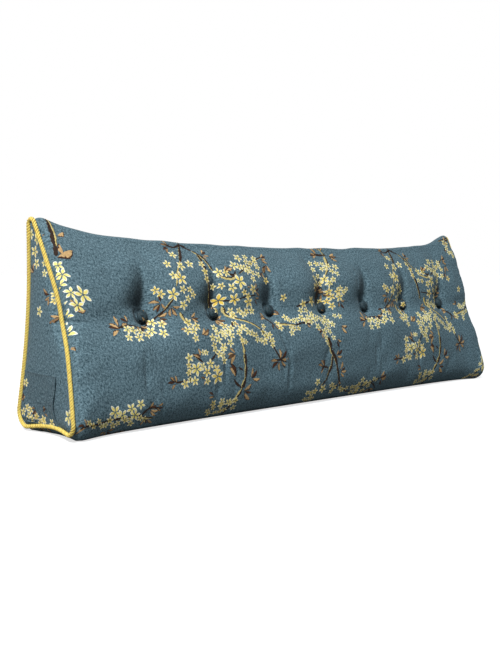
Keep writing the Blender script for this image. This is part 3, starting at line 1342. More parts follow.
END_BLOSSOMS = (
    (-73, 12.4, 0.1, 0.1, 1, 1.35, 0), (-72.5, 14.4, 0.1, 0.1, 1, 1.75, 0),
    (-73.3, 16.4, 0.1, 0.1, 1, 1.35, 0), (-71.6, 18.4, 0.1, 0.1, 1, 1.5, 0.1),
    (-69.1, 18, 0.1, 0.1, 1, 2, 0.1), (-70.5, 20.8, 0.1, 0.1, 1, 1.85, 0.1),
    (-72.9, 23, 0.1, 0.1, 1, 1.6, 0.1), (-73.4, 20.4, 0.1, 0.1, 1, 1.3, 0.1),
    (-73.2, 26.6, 0.1, 0.1, 1, 1.75, 0.1), (-71.5, 45.6, 0.9, 0.5, 3, 1.35, 0.4),
    (-68.6, 44.8, 1.2, 0.8, 4, 1.5, 0.3), (-65.2, 42, 0.1, 0.1, 1, 1.7, 0.2),
    (-65.4, 44.4, 1.6, 0.8, 4, 1.55, 0.3), (-63.2, 42.6, 0.3, 0.2, 1, 1.6, 0.2),
    (-61.2, 41, 0.1, 0.1, 1, 1.4, 0.1), (-61.6, 44, 1.5, 0.7, 4, 1.45, 0.3), (-60, 42.4, 1.4, 0.2),
    (-58.8, 40, 0.1, 0.1, 1, 1.5, 0.1), (-58, 43.4, 0.9, 0.6, 3, 1.3, 0.2),
    (71.3, 3.4, 0.9, 0.8, 3, 1.3, 0.3), (71.2, 5.8, 0.7, 1, 3, 1.3, 0.3), (72.2, 8, 0.5, 0.8, 2, 1.2, 0.3),
    (-31.9, 16.4, 0.1, 0.1, 1, 1.62, 0.9), (74, 43.4, 1.2, 0.3), (72.6, 44.7, 0.4, 0.3, 2, 1.2, 0.4),
    (71.2, 46, 0.5, 0.3, 2, 1.15, 0.5), (69.4, 46.9, 0.6, 0.3, 2, 1.1, 0.5),
    (67.6, 47.9, 0.6, 0.3, 2, 1.1, 0.6), (73.6, 46.6, 0.4, 0.5, 2, 1.1, 0.5),
    (71.4, 48.2, 0.7, 0.4, 2, 1.1, 0.6),
)
END_LEAVES = (
    (-71.9, 5.4, -45, 0, 1, 3.2, 0), (-71.9, 6.4, 75, 0, 1, 2.8, 0), (-72.9, 10.6, -38, 0, 1, 3.8, 0),
    (-73.6, 5, 200, 0, 1, 1.5, 0.9), (-70.9, 22.1, -60, 90, 3, 1.6, 0.6), (-72.6, 31, 250, 0, 1, 1.3, 0.5),
    (-56.4, 41.4, -10, 90, 4, 1.7, 0.6), (-56.9, 43.2, 70, 80, 3, 1.6, 0.5),
    (-54.6, 40.7, 10, 80, 3, 1.4, 0.8), (-66.9, 46.6, 60, 120, 4, 1.7, 0.8),
    (-62.9, 46.8, 60, 100, 3, 1.6, 0.8), (-72.8, 46.4, 200, 90, 3, 1.6, 0.7),
    (71.2, 2.2, 10, 90, 3, 2, 0.4), (70.8, 5.2, 170, 60, 2, 1.5, 0.8), (73.6, 1.6, -30, 60, 2, 1.8, 0.3),
    (69.8, 48.6, 30, 100, 3, 1.6, 0.7), (73.6, 48.2, 60, 100, 3, 1.6, 0.7),
)
END_TWIGS = (
    (5.4, 4.6, 0, (-72.6, -1.5), (-72.6, 4), (-73, 10.2)),
    (3, 2.4, 1, (-72.5, 0.6), (-71.9, 4.4), (-72.6, 8)),
    (2.6, 2.4, 0.1, (-74, 46.6), (-70, 45.4), (-66.6, 43.8), (-62, 43), (-58.6, 42.6), (-56.5, 40.8),
     (-53.6, 41)), (2.2, 2, 0.6, (-58.6, 42.6), (-56.6, 43.4), (-55, 43.2)),
    (2.8, 2.4, 0.3, (68.6, 1.2), (71.6, 1.8), (75, 2.6)),
    (2.4, 2.2, 0.1, (66, 49.2), (70.4, 47.2), (75, 44.8)),
)
PANEL_BLOSSOMS = (  # y, height, half across, half up, how many, radius, gold
    (3.6, 46.3, 0.6, 0.8, 2, 1.15, 0.3), (4.7, 42.6, 0.3, 0.3, 1, 1.25, 0.2),
    (2.6, 41.4, 0.3, 0.3, 1, 1.3, 0.1), (4, 38.9, 1.45, 0.2), (3.4, 36.3, 1.3, 0.2),
    (0.2, 35.2, 0.4, 1.1, 2, 1.3, 0.1), (-2.4, 29.2, 0.4, 0.8, 2, 1.15, 0.5), (2.3, 26.3, 1.45, 0),
    (8.6, 10.7, 1.15, 0.1), (-8.9, 5.6, 0.3, 0.6, 1, 1.85, 0.2), (8, 4.2, 1.8, 1, 5, 1.15, 0.5),
    (4, 3, 2.2, 0.7, 5, 1.1, 0.6), (0.4, 3, 1.8, 0.6, 3, 1.1, 0.6),
)
PANEL_LEAVES = (  # y, height, heading in degrees (0 is forward, 90 is down), fan, how many, length, depth
    (4.6, 34.3, 120, 80, 3, 1.8, 0.3), (3, 45, 240, 80, 3, 1.6, 0.8), (-1.2, 29.8, 200, 120, 4, 1.7, 0.7),
    (-3.6, 25.3, 190, 40, 2, 1.9, 0.1), (9.2, 8.6, 90, 40, 2, 1.3, 0.3), (5, 5.4, 250, 130, 4, 1.7, 0.8),
    (1.4, 4.6, 30, 120, 3, 1.5, 0.7), (9.4, 6.2, 80, 80, 3, 1.5, 0.5),
)
BUTTON_BLOSSOMS = (  # button, across, down in millimetres, turn in degrees, radius in millimetres, gold
    (1, 7, -3, 0, 11, 0.5), (3, 14, -8, 28.64789, 9, 0.7), (5, -6, 4, 57.29578, 10, 0.8),
)
BUTTON_LEAVES = (  # button, across, down in millimetres, heading, length in millimetres, depth
    (0, -6, 4, 300, 14, 0.3), (0, 2, -8, 60, 11, 0.6), (3, -10, 8, 330, 16, 0.6), (5, 4, -9, 120, 12, 0.5),
    (1, -9, -6, 40, 10, 0.5),
)


@dataclass
class SprayCloth:
    """The woven blossoms, leaves and twigs, laid out flat and then carried onto the sewn pieces."""

    repeat_x: float = 0.80
    repeat_v: float = 0.60
    blossom_spread: float = 0.96
    closeness: float = 0.56
    tries: int = 24
    twig_spread: float = 2.0
    twig_step: float = 0.005
    twig_evening: int = 3
    twig_tip: float = 0.4
    twig_crown: float = 0.0002
    knot_size: float = 0.28
    knot_length: float = 0.012
    leaf_spread: float = 1.18
    leaf_loose: float = 14
    fan_open: float = 1.5
    layers: int = 4
    layer_step: float = 0.00012
    fullness: float = 0.70
    lone: tuple[float, float, int] = (0.2, 0.2, 1)  # half across, half down and how many
    ear_drop: float = 0.025
    lowest: float = 0.0025
    motif_lift: float = 0.0002
    twig_lift: float = 0.00012
    seed: int = 31

    def __post_init__(self) -> None:
        """Makes the flat motifs and their trees."""
        self.rng = np.random.default_rng(self.seed)
        self.motifs = {Kind.BLOSSOM: self._blossom(), Kind.LEAF: self._leaf()}
        self.finishes = {Kind.BLOSSOM: PETAL.make(), Kind.LEAF: LEAF.make()}
        self.bark = BARK.make()
        self.stamp = self._lay_tree(stamped=True)
        self.lay = self._lay_tree(stamped=False)

    @staticmethod
    def _petal(base: float, tip: float, half: float, puff: float) -> tuple[Array, list, Array]:
        """A pointed oval that runs along +x.

        Args:
            base: where it starts.
            tip: where it ends.
            half: half its width.
            puff: how high its middle stands.

        Returns:
            Its (n, 3) points, its faces, and how deep inside the oval each point is.
        """
        run = tip - base
        rises = ((0, 0.2), (0.27, 0.9), (0.58, 1.0), (0.82, 0.8), (1, 0.2))
        widths = ((0.24, 0.60), (0.52, 1.0), (0.80, 0.66))
        spine = [(base + run * t, 0.0, puff * h) for t, h in rises]
        rim = [(base + run * t, half * w, 0.0) for t, w in widths]
        other = [(x, -y, z) for x, y, z in rim]
        points = np.array(spine + rim + other)
        inside = np.array([1.0, 1.0, 1.0, 0.60, 0.0] + [0.40, 0.14, 0.0] * 2)
        faces = []
        for first, flip in ((5, False), (8, True)):
            a, b, c = first, first + 1, first + 2
            for face in ((0, a, 1), (1, a, b, 2), (2, b, c, 3), (3, c, 4)):
                faces.append(face if flip else face[::-1])
        return points, faces, inside

    def _blossom(self) -> Object:
        """Five separate pointed petals, 1 across the radius.

        Returns:
            The flat blossom.
        """
        points, faces, inside = self._petal(0.10, 1.0, 0.24, 0.012)
        all_points, all_faces = [], []
        for k in range(5):
            turn = 2 * math.pi * k / 5
            c, s = math.cos(turn), math.sin(turn)
            spin = np.array([[c, s, 0], [-s, c, 0], [0, 0, 1]])
            all_faces += [tuple(i + len(points) * k for i in f) for f in faces]
            all_points.append(points @ spin)
        heart = np.tile(inside, 5)
        return mesh_object("flat_blossom", np.concatenate(all_points), all_faces, facts={"heart": heart})

    def _leaf(self) -> Object:
        """One pointed leaf with a dark edge, 1 long.

        Returns:
            The flat leaf.
        """
        points, faces, inside = self._petal(0.0, 1.0, 0.165, 0.008)
        points[:, 1] += 0.10 * np.sin(math.pi * points[:, 0])
        inside[:] = (0.0, 0.42, 0.55, 0.48, 0.1, 0.05, 0.20, 0.0, 0.80, 1.00, 0.55)
        return mesh_object("flat_leaf", points, faces, facts={"heart": inside})

    @staticmethod
    def _lay_tree(stamped: bool) -> NodeTree:
        """A tree that carries flat cloth work onto a sewn piece.

        Args:
            stamped: whether the tree first puts a motif on each point, or lays the mesh as it is.

        Returns:
            The tree, with inputs for the piece, the motif, the lift and the finish.
        """
        tree, bench, given, result = node_group(
            "stamp_on_cloth" if stamped else "lay_on_cloth", "GeometryNodeTree",
            {"Geometry": "Geometry", "Piece": "Object", "Motif": "Object", "Lift": "Float",
             "Cloth span": "Float", "Lowest": "Float", "Finish": "Material"}, {"Geometry": "Geometry"})
        work = given["Geometry"]
        if stamped:
            turn = bench.out("ShaderNodeCombineXYZ", {2: bench.fact("turn")})
            size = bench.out("ShaderNodeCombineXYZ", dict.fromkeys(range(3), bench.fact("size")))
            work = bench.planted(work, given["Motif"], turn, size)
        position = bench.out("GeometryNodeInputPosition")
        work = bench.stored(work, "flat_place", position, VECTOR)
        flat = bench.fact("flat_place", VECTOR)
        asked = {"Mesh": bench.shape(given["Piece"]), "UV Map": bench.fact(CLOTH_MAP, VECTOR),
                 "Sample UV": bench.scaled(flat, bench.maths("DIVIDE", 1.0, given["Cloth span"]))}
        spot, out = (
            bench.add("GeometryNodeSampleUVSurface", {**asked, "Value": value}, data_type=VECTOR).outputs
            for value in (position, bench.out("GeometryNodeInputNormal")))
        height = bench.maths("ADD", bench.split(flat)[2], given["Lift"])
        rise = bench.scaled(bench.vectors("NORMALIZE", out[0]), height)
        off_cloth = bench.out("FunctionNodeBooleanMath", {0: spot["Is Valid"]}, operation="NOT")
        under = bench.out("FunctionNodeCompare", {0: bench.split(spot[0])[2], 1: given["Lowest"]},
                          data_type="FLOAT", operation="LESS_THAN")
        off = bench.out("FunctionNodeBooleanMath", {0: off_cloth, 1: under}, operation="OR")
        kept = bench.out("GeometryNodeDeleteGeometry", {"Geometry": work, "Selection": off}, domain="POINT")
        place = bench.vectors("ADD", spot[0], rise)
        moved = bench.out("GeometryNodeSetPosition", {"Geometry": kept, "Position": place})
        bench.finish_off(moved, given, result)
        return tree

    def _clusters(self, rows: tuple) -> Scatter:
        """Spreads the blossoms of each group over its oval, no two on the same spot.

        Args:
            rows: the chart of the groups.

        Returns:
            Where the blossoms go.
        """
        at, size, depth = [], [], []
        for x, v, *oval, radius, gold in rows:
            half_x, half_v, charted = oval or self.lone
            count = max(min(charted, 2), round(self.fullness * charted))
            placed: list[Array] = []
            room = math.sqrt(math.pi * (half_x + 0.6) * (half_v + 0.6) / count)
            for _ in range(count):
                angle = self.rng.uniform(0, 2 * math.pi, self.tries)
                reach = np.sqrt(self.rng.uniform(0, 1, self.tries))
                tries = np.stack([x + half_x * reach * np.cos(angle), v + half_v * reach * np.sin(angle)], -1)
                near = placed or [tries[0] + 99]
                gaps = np.linalg.norm(tries[:, None] - np.array(near)[None], axis=-1).min(1)
                placed.append(tries[np.argmax(gaps)])
            at += placed
            radius = min(self.blossom_spread * radius, self.closeness * room if count > 1 else radius)
            size += list(radius * self.rng.uniform(0.86, 1.1, count))
            depth += list(np.clip(gold + self.rng.uniform(-0.2, 0.2, count), 0, 1))
        turn = self.rng.uniform(0, 2 * math.pi, len(at))
        return Scatter(np.array(at) * CM, turn, np.array(size) * CM, np.array(depth))

    def _fans(self, rows: tuple) -> Scatter:
        """Opens each sprig of leaves into its fan.

        Args:
            rows: the chart of the sprigs.

        Returns:
            Where the leaves go.
        """
        at, turn, size, depth = [], [], [], []
        for x, v, heading, fan, count, length, tone in rows:
            for k in range(count):
                share = (k + 0.5) / count - 0.5
                loose = self.rng.uniform(-self.leaf_loose, self.leaf_loose)
                angle = math.radians(heading + self.fan_open * fan * share + loose)
                start = self.rng.uniform(0.0, 0.6)
                at.append((x + start * math.cos(angle), v + start * math.sin(angle)))
                turn.append(angle)
                size.append(length * self.rng.uniform(0.75, 1.15))
                dark = 0.75 if k % 3 == 1 else -0.10
                depth.append(np.clip(0.7 * tone + dark + self.rng.uniform(-0.2, 0.2), 0, 1))
        size = np.array(size) * CM * self.leaf_spread
        return Scatter(np.array(at) * CM, np.array(turn), size, np.array(depth))

    def _ribbons(self, rows: tuple, corner: Pair, repeated: bool) -> Object:
        """Every twig as a flat tapered ribbon with a few knots.

        Args:
            rows: the twigs.
            corner: where x and drop are 0 on the cloth.
            repeated: whether each twig comes again with the pattern's repeats.

        Returns:
            The flat ribbons.
        """
        points, faces, heart, depth = [], [], [], []
        for width0, width1, pale, *bends in rows:
            bends = np.array(bends) * CM
            run = np.concatenate([[0], np.cumsum(np.linalg.norm(np.diff(bends, axis=0), axis=1))])
            count = max(4, int(run[-1] / self.twig_step))
            t = np.linspace(0, run[-1], count)
            line = np.stack([np.interp(t, run, bends[:, k]) for k in (0, 1)], -1)
            for _ in range(self.twig_evening):
                line[1:-1] = (line[:-2] + 2 * line[1:-1] + line[2:]) / 4
            side = unit(np.gradient(line, axis=0))[:, ::-1] * (-1, 1)
            seed = int(1e4 * abs(bends[0, 0])) + 7
            knots = 1 + self.knot_size * swells(line, self.knot_length, seed, 5)
            half = self.twig_spread * (width0 + (width1 - width0) * t / run[-1]) * knots / 2000
            half[[0, -1]] *= self.twig_tip
            for shift in self._shifts() if repeated else [(0.0, 0.0)]:
                first = len(points)
                moved = self._settled(line + shift) if repeated else line
                for place, reach, off in zip(moved + corner, half, side):
                    for share, height in ((-1, 0.0), (0, self.twig_crown), (1, 0.0)):
                        points.append((*(place + off * reach * share), height))
                        heart.append((share - 1) / 2 + 0.85 * pale + 0.10)
                        depth.append(0.15)
                for k in range(count - 1):
                    for j in (0, 1):
                        a = first + 3 * k + j
                        faces.append((a, a + 1, a + 4, a + 3)[::-1])
        return mesh_object("flat_twigs", np.array(points), faces, facts={"heart": heart, "depth": depth})

    def _points(self, name: str, scatter: Scatter) -> Object:
        """The motifs' places as bare points with their facts.

        Args:
            name: the new object's name.
            scatter: where the motifs go on the cloth.

        Returns:
            The points.
        """
        layer = (np.arange(len(scatter.at)) % self.layers) * self.layer_step
        places = np.concatenate([scatter.at, layer[:, None]], 1)
        facts = {"turn": scatter.turn, "size": scatter.size, "depth": scatter.depth}
        return mesh_object(name, places, facts=facts)

    def stamp_on(self, name: str, piece: Object, kind: Kind, scatter: Scatter) -> Object:
        """Weaves one kind of motif into a sewn piece.

        Args:
            name: the new piece's name.
            piece: the sewn piece, which has a cloth map.
            kind: which motif.
            scatter: where the motifs go on the cloth.

        Returns:
            The laid motifs as a plain mesh.
        """
        return run_tree(self._points(name, scatter), self.stamp, name, {
            "Piece": piece, "Motif": self.motifs[kind], "Lift": self.motif_lift, "Cloth span": CLOTH_SPAN,
            "Lowest": self.lowest, "Finish": self.finishes[kind]})

    def _settled(self, at: Array) -> Array:
        """Places on the cloth near the right end lie further from the ridge, because the ear rises there."""
        drop = self.ear_drop * smooth_step(0.45, 0.63, at[:, 0])
        return at + np.stack([np.zeros_like(drop), drop], -1)

    def _shifts(self) -> list[Pair]:
        """How far each repeat is moved. The left end's part of the first course has its own charts."""
        return [(i * self.repeat_x, j * self.repeat_v) for i, j in ((0, 0), (1, 0), (-1, 1), (0, 1), (1, 1))]

    def dress_wrap(self, cushion: Cushion, piece: Object) -> list[Object]:
        """Weaves the pattern into the wrap of the cushion.

        Args:
            cushion: the cushion.
            piece: its finished mesh.

        Returns:
            The laid blossoms, leaves and twigs.
        """
        corner = cushion.wrap_corner
        made = []
        for kind, flat, lone in ((Kind.BLOSSOM, self._clusters(BLOSSOMS), self._clusters(END_BLOSSOMS)),
                                 (Kind.LEAF, self._fans(LEAVES), self._fans(END_LEAVES))):
            spread = Scatter.joined([flat.shifted(*s) for s in self._shifts()])
            spread = Scatter.joined([replace(spread, at=self._settled(spread.at)), lone]).shifted(*corner)
            within = np.abs(spread.at[:, 0] - corner[0]) < cushion.form.length / 2 + 0.016
            made.append(self.stamp_on(f"woven_{kind.value}", piece, kind, spread.where(within)))
        for rows, repeated, name in ((TWIGS, True, "woven_twigs"), (END_TWIGS, False, "woven_stem")):
            made.append(run_tree(self._ribbons(rows, corner, repeated), self.lay, name, {
                "Piece": piece, "Lift": self.twig_lift, "Cloth span": CLOTH_SPAN, "Lowest": self.lowest,
                "Finish": self.bark}))
        return made

    def dress_end(self, cushion: Cushion, end: int, piece: Object, name: str) -> list[Object]:
        """Weaves the pattern into an end panel or the pocket on it.

        Args:
            cushion: the cushion.
            end: -1 for the left end, 1 for the right.
            piece: the sewn piece.
            name: how the new pieces' names start.

        Returns:
            The laid blossoms and leaves.
        """
        made = []
        flats = ((Kind.BLOSSOM, self._clusters(PANEL_BLOSSOMS)), (Kind.LEAF, self._fans(PANEL_LEAVES)))
        for kind, flat in flats:
            places = np.concatenate([np.zeros((len(flat.at), 1)), flat.at], 1)
            moved = Scatter(cushion.panel_map(end, places), flat.turn, flat.size, flat.depth)
            made.append(self.stamp_on(f"{name}_{kind.value}", piece, kind, moved))
        return made

    def clear_up(self) -> None:
        """Removes the flat motifs."""
        for motif in self.motifs.values():
            bpy.data.objects.remove(motif)


# ---------------------------------------------------------------- the rope at each end

@dataclass
class RopeCord:
    """A rope of three strands sewn round an end seam."""

    cushion: Cushion
    end: int
    radius: float = 0.00475
    strands: int = 3
    lay: float = 0.0185
    step: float = 0.0011
    sides: int = 10
    squeeze: float = 1.04  # strands press into each other, so each is a little thicker
    off_corner: float = 0.00057
    off_end: Pair = (0.0006, 0.0028)

    def _tree(self) -> NodeTree:
        """A tree that winds the strands round a closed path.

        Returns:
            The tree, with inputs for the turns, the strands and the finish.
        """
        name = "wound_rope"
        if name in bpy.data.node_groups:
            return bpy.data.node_groups[name]
        tree, bench, given, result = node_group(
            name, "GeometryNodeTree",
            {"Geometry": "Geometry", "Turns": "Float", "Points": "Int",
             "Strand radius": "Float", "Strand offset": "Float", "Sides": "Int",
             "Finish": "Material"}, {"Geometry": "Geometry"})
        path = bench.out("GeometryNodeMeshToCurve", {"Mesh": given["Geometry"]})
        path = bench.out("GeometryNodeResampleCurve", {"Curve": path, "Count": given["Points"]})
        tangent = bench.vectors("NORMALIZE", bench.out("GeometryNodeInputTangent"))
        along_x = (1.0, 0.0, 0.0)
        lean = bench.scaled(tangent, bench.vectors("DOT_PRODUCT", along_x, tangent))
        first = bench.vectors("NORMALIZE", bench.vectors("SUBTRACT", along_x, lean))
        second = bench.vectors("CROSS_PRODUCT", tangent, first)
        factor = bench.add("GeometryNodeSplineParameter").outputs["Factor"]
        spin = bench.maths("MULTIPLY", bench.maths("MULTIPLY", factor, given["Turns"]), 2 * math.pi)
        ring = bench.out("GeometryNodeCurvePrimitiveCircle", {
            "Resolution": given["Sides"], "Radius": given["Strand radius"]})
        heading = bench.vectors("NORMALIZE", bench.out("GeometryNodeInputPosition"))
        ring = bench.stored(ring, "ring_side", heading, VECTOR)
        joined = bench.add("GeometryNodeJoinGeometry")
        place = bench.out("GeometryNodeInputPosition")
        for k in range(self.strands):
            angle = bench.maths("ADD", spin, 2 * math.pi * k / self.strands)
            sides = (bench.scaled(way, bench.maths(turned, angle)) for way, turned in
                     ((first, "COSINE"), (second, "SINE")))
            offset = bench.scaled(bench.vectors("ADD", *sides), given["Strand offset"])
            core = bench.vectors("SUBTRACT", place, offset)
            wound = bench.out("GeometryNodeSetPosition", {"Geometry": path, "Offset": offset})
            marked = bench.stored(bench.stored(wound, "spin", spin), "core", core, VECTOR)
            strand = bench.out("GeometryNodeCurveToMesh", {"Curve": marked, "Profile Curve": ring})
            tree.links.new(strand, joined.inputs[0])
        side = bench.split(bench.fact("ring_side", VECTOR))
        around = bench.out("ShaderNodeCombineXYZ", {0: side[0], 1: side[1], 2: bench.fact("spin")})
        kept = bench.stored(joined.outputs[0], "around", around, VECTOR)
        away = bench.vectors("LENGTH", bench.vectors("SUBTRACT", place, bench.fact("core", VECTOR)))
        smooth = bench.out("GeometryNodeSetShadeSmooth", {"Geometry": bench.stored(kept, "standing", away)})
        bench.finish_off(smooth, given, result)
        return tree

    def build(self, finish: Material) -> Object:
        """Winds the rope round its end of the cushion.

        Args:
            finish: the rope's material.

        Returns:
            The rope as a plain mesh.
        """
        name = "rope_left" if self.end < 0 else "rope_right"
        edge, out = self.cushion.form.end_edge(self.end, self.cushion.rows)
        path = edge + out * self.off_corner + (self.end * self.off_end[self.end > 0], 0, 0)
        length = np.linalg.norm(path - np.roll(path, 1, 0), axis=1).sum()
        count = len(path)
        obj = mesh_object(name, path, edges=[(i, (i + 1) % count) for i in range(count)])
        strand = self.radius / (1 + 2 / math.sqrt(3)) * self.squeeze
        return run_tree(obj, self._tree(), name, {
            "Turns": float(round(length / self.lay)), "Points": int(length / self.step),
            "Strand radius": strand,
            "Strand offset": self.radius - strand, "Sides": self.sides, "Finish": finish})


# ---------------------------------------------------------------- covered buttons

@dataclass
class CoveredButtons:
    """Domed buttons under tight cloth, tied into their seats."""

    cushion: Cushion
    radius: float = 0.0135
    rise: float = 0.0115
    segments: int = 48
    rings: int = 14
    pleats: int = 17
    pleat_depth: float = 0.022
    drawn_round: float = 1.95  # how far the cloth goes round the rim, in radians
    steepness: float = 1.28
    foot: float = 0.0085
    gap: float = 0.0003
    cloth_corner: Pair = (0.1, 1.93)
    cloth_pitch: float = 0.1

    def _dome(self) -> Object:
        """One button, facing +z, with the cloth drawn under its rim.

        Returns:
            The button, with its cloth map.
        """
        share = np.linspace(0, 1, self.rings + 1)[1:]
        reach = self.radius * np.sin(self.drawn_round * share)
        height = self.rise * (1 + np.cos(self.steepness * self.drawn_round * share)) / 2
        reach = np.where(height < 0.3 * self.rise, np.maximum(reach, self.foot), reach)
        arc = np.cumsum(np.hypot(np.diff(reach, prepend=0.0), np.diff(height, prepend=self.rise)))
        n = self.segments
        turn = 2 * math.pi * np.arange(n) / n
        way = np.stack([np.cos(turn), np.sin(turn)], -1)
        pleated = self.pleat_depth * np.cos(self.pleats * turn) * smooth_step(0.55, 1.0, share)[:, None]
        rings = way * (reach[:, None] * (1 + pleated))[..., None]
        rings = np.concatenate([rings, np.tile(height[:, None, None], (1, n, 1))], -1)
        points = np.concatenate([[(0.0, 0.0, self.rise)], rings.reshape(-1, 3)])
        maps = np.concatenate([[(0.0, 0.0)], (arc[:, None, None] * way).reshape(-1, 2)])
        columns = (1 + np.arange(self.rings * n)).reshape(self.rings, n).T.tolist()
        faces = []
        for a, b in zip(columns, columns[1:] + columns[:1]):
            faces += [(0, a[0], b[0]), *zip(a, a[1:], b[1:], b)]
        faces.append(tuple(column[-1] for column in columns[::-1]))
        obj = mesh_object("one_button", points, faces)
        corners = maps[[i for f in faces for i in f]]
        corners[-n:] -= (0.0, self.cloth_pitch / 2)  # the underside has its own place on the cloth
        set_cloth_map(obj.data, corners)
        return obj

    def _tree(self) -> NodeTree:
        """A tree that sets one button on each seat and gives each its own piece of the cloth map.

        Returns:
            The tree, with inputs for the button, its step on the cloth and the finish.
        """
        tree, bench, given, result = node_group(
            "buttons_on_seats", "GeometryNodeTree",
            {"Geometry": "Geometry", "Button": "Object", "Map step": "Float",
             "Finish": "Material"}, {"Geometry": "Geometry"})
        tilt = bench.out("ShaderNodeCombineXYZ", {0: bench.fact("tilt")})
        made = bench.planted(given["Geometry"], given["Button"], tilt, (1.0, 1.0, 1.0))
        shift = bench.maths("MULTIPLY", bench.fact("which"), given["Map step"])
        across, down = (part / CLOTH_SPAN for part in self.cloth_corner)
        move = bench.out("ShaderNodeCombineXYZ", {0: bench.maths("ADD", shift, across), 1: down})
        moved = bench.vectors("ADD", bench.fact(CLOTH_MAP, VECTOR), move)
        bench.finish_off(bench.stored(made, CLOTH_MAP, moved, "FLOAT2", "CORNER"), given, result)
        return tree

    def build(self) -> Object:
        """Sets a button on every seat.

        Returns:
            The buttons as one plain mesh.
        """
        seats = self.cushion.seats()
        at = np.array([s.at + s.out * self.gap for s in seats])
        tilt = [math.atan2(-s.out[1], s.out[2]) for s in seats]
        obj = mesh_object("covered_buttons", at, facts={"tilt": tilt, "which": np.arange(len(seats))})
        dome = self._dome()
        made = run_tree(obj, self._tree(), "covered_buttons", {
            "Button": dome, "Map step": self.cloth_pitch / CLOTH_SPAN, "Finish": BUTTON_GROUND.make()})
        bpy.data.objects.remove(dome)
        return made

    def dress(self, cloth: SprayCloth, piece: Object) -> list[Object]:
        """Weaves the bits of motif that the covering caught into the buttons.

        Args:
            cloth: the woven pattern.
            piece: the buttons.

        Returns:
            The laid blossoms and leaves.
        """
        made = []
        for kind, rows in ((Kind.BLOSSOM, BUTTON_BLOSSOMS), (Kind.LEAF, BUTTON_LEAVES)):
            which, across, down, heading, size, depth = np.array(rows).T
            at = np.stack([self.cloth_corner[0] + which * self.cloth_pitch + across / 1000,
                           self.cloth_corner[1] - down / 1000], -1)
            motifs = Scatter(at, np.radians(heading), size / 1000, depth)
            made.append(cloth.stamp_on(f"button_{kind.value}", piece, kind, motifs))
        return made


# ---------------------------------------------------------------- the pocket

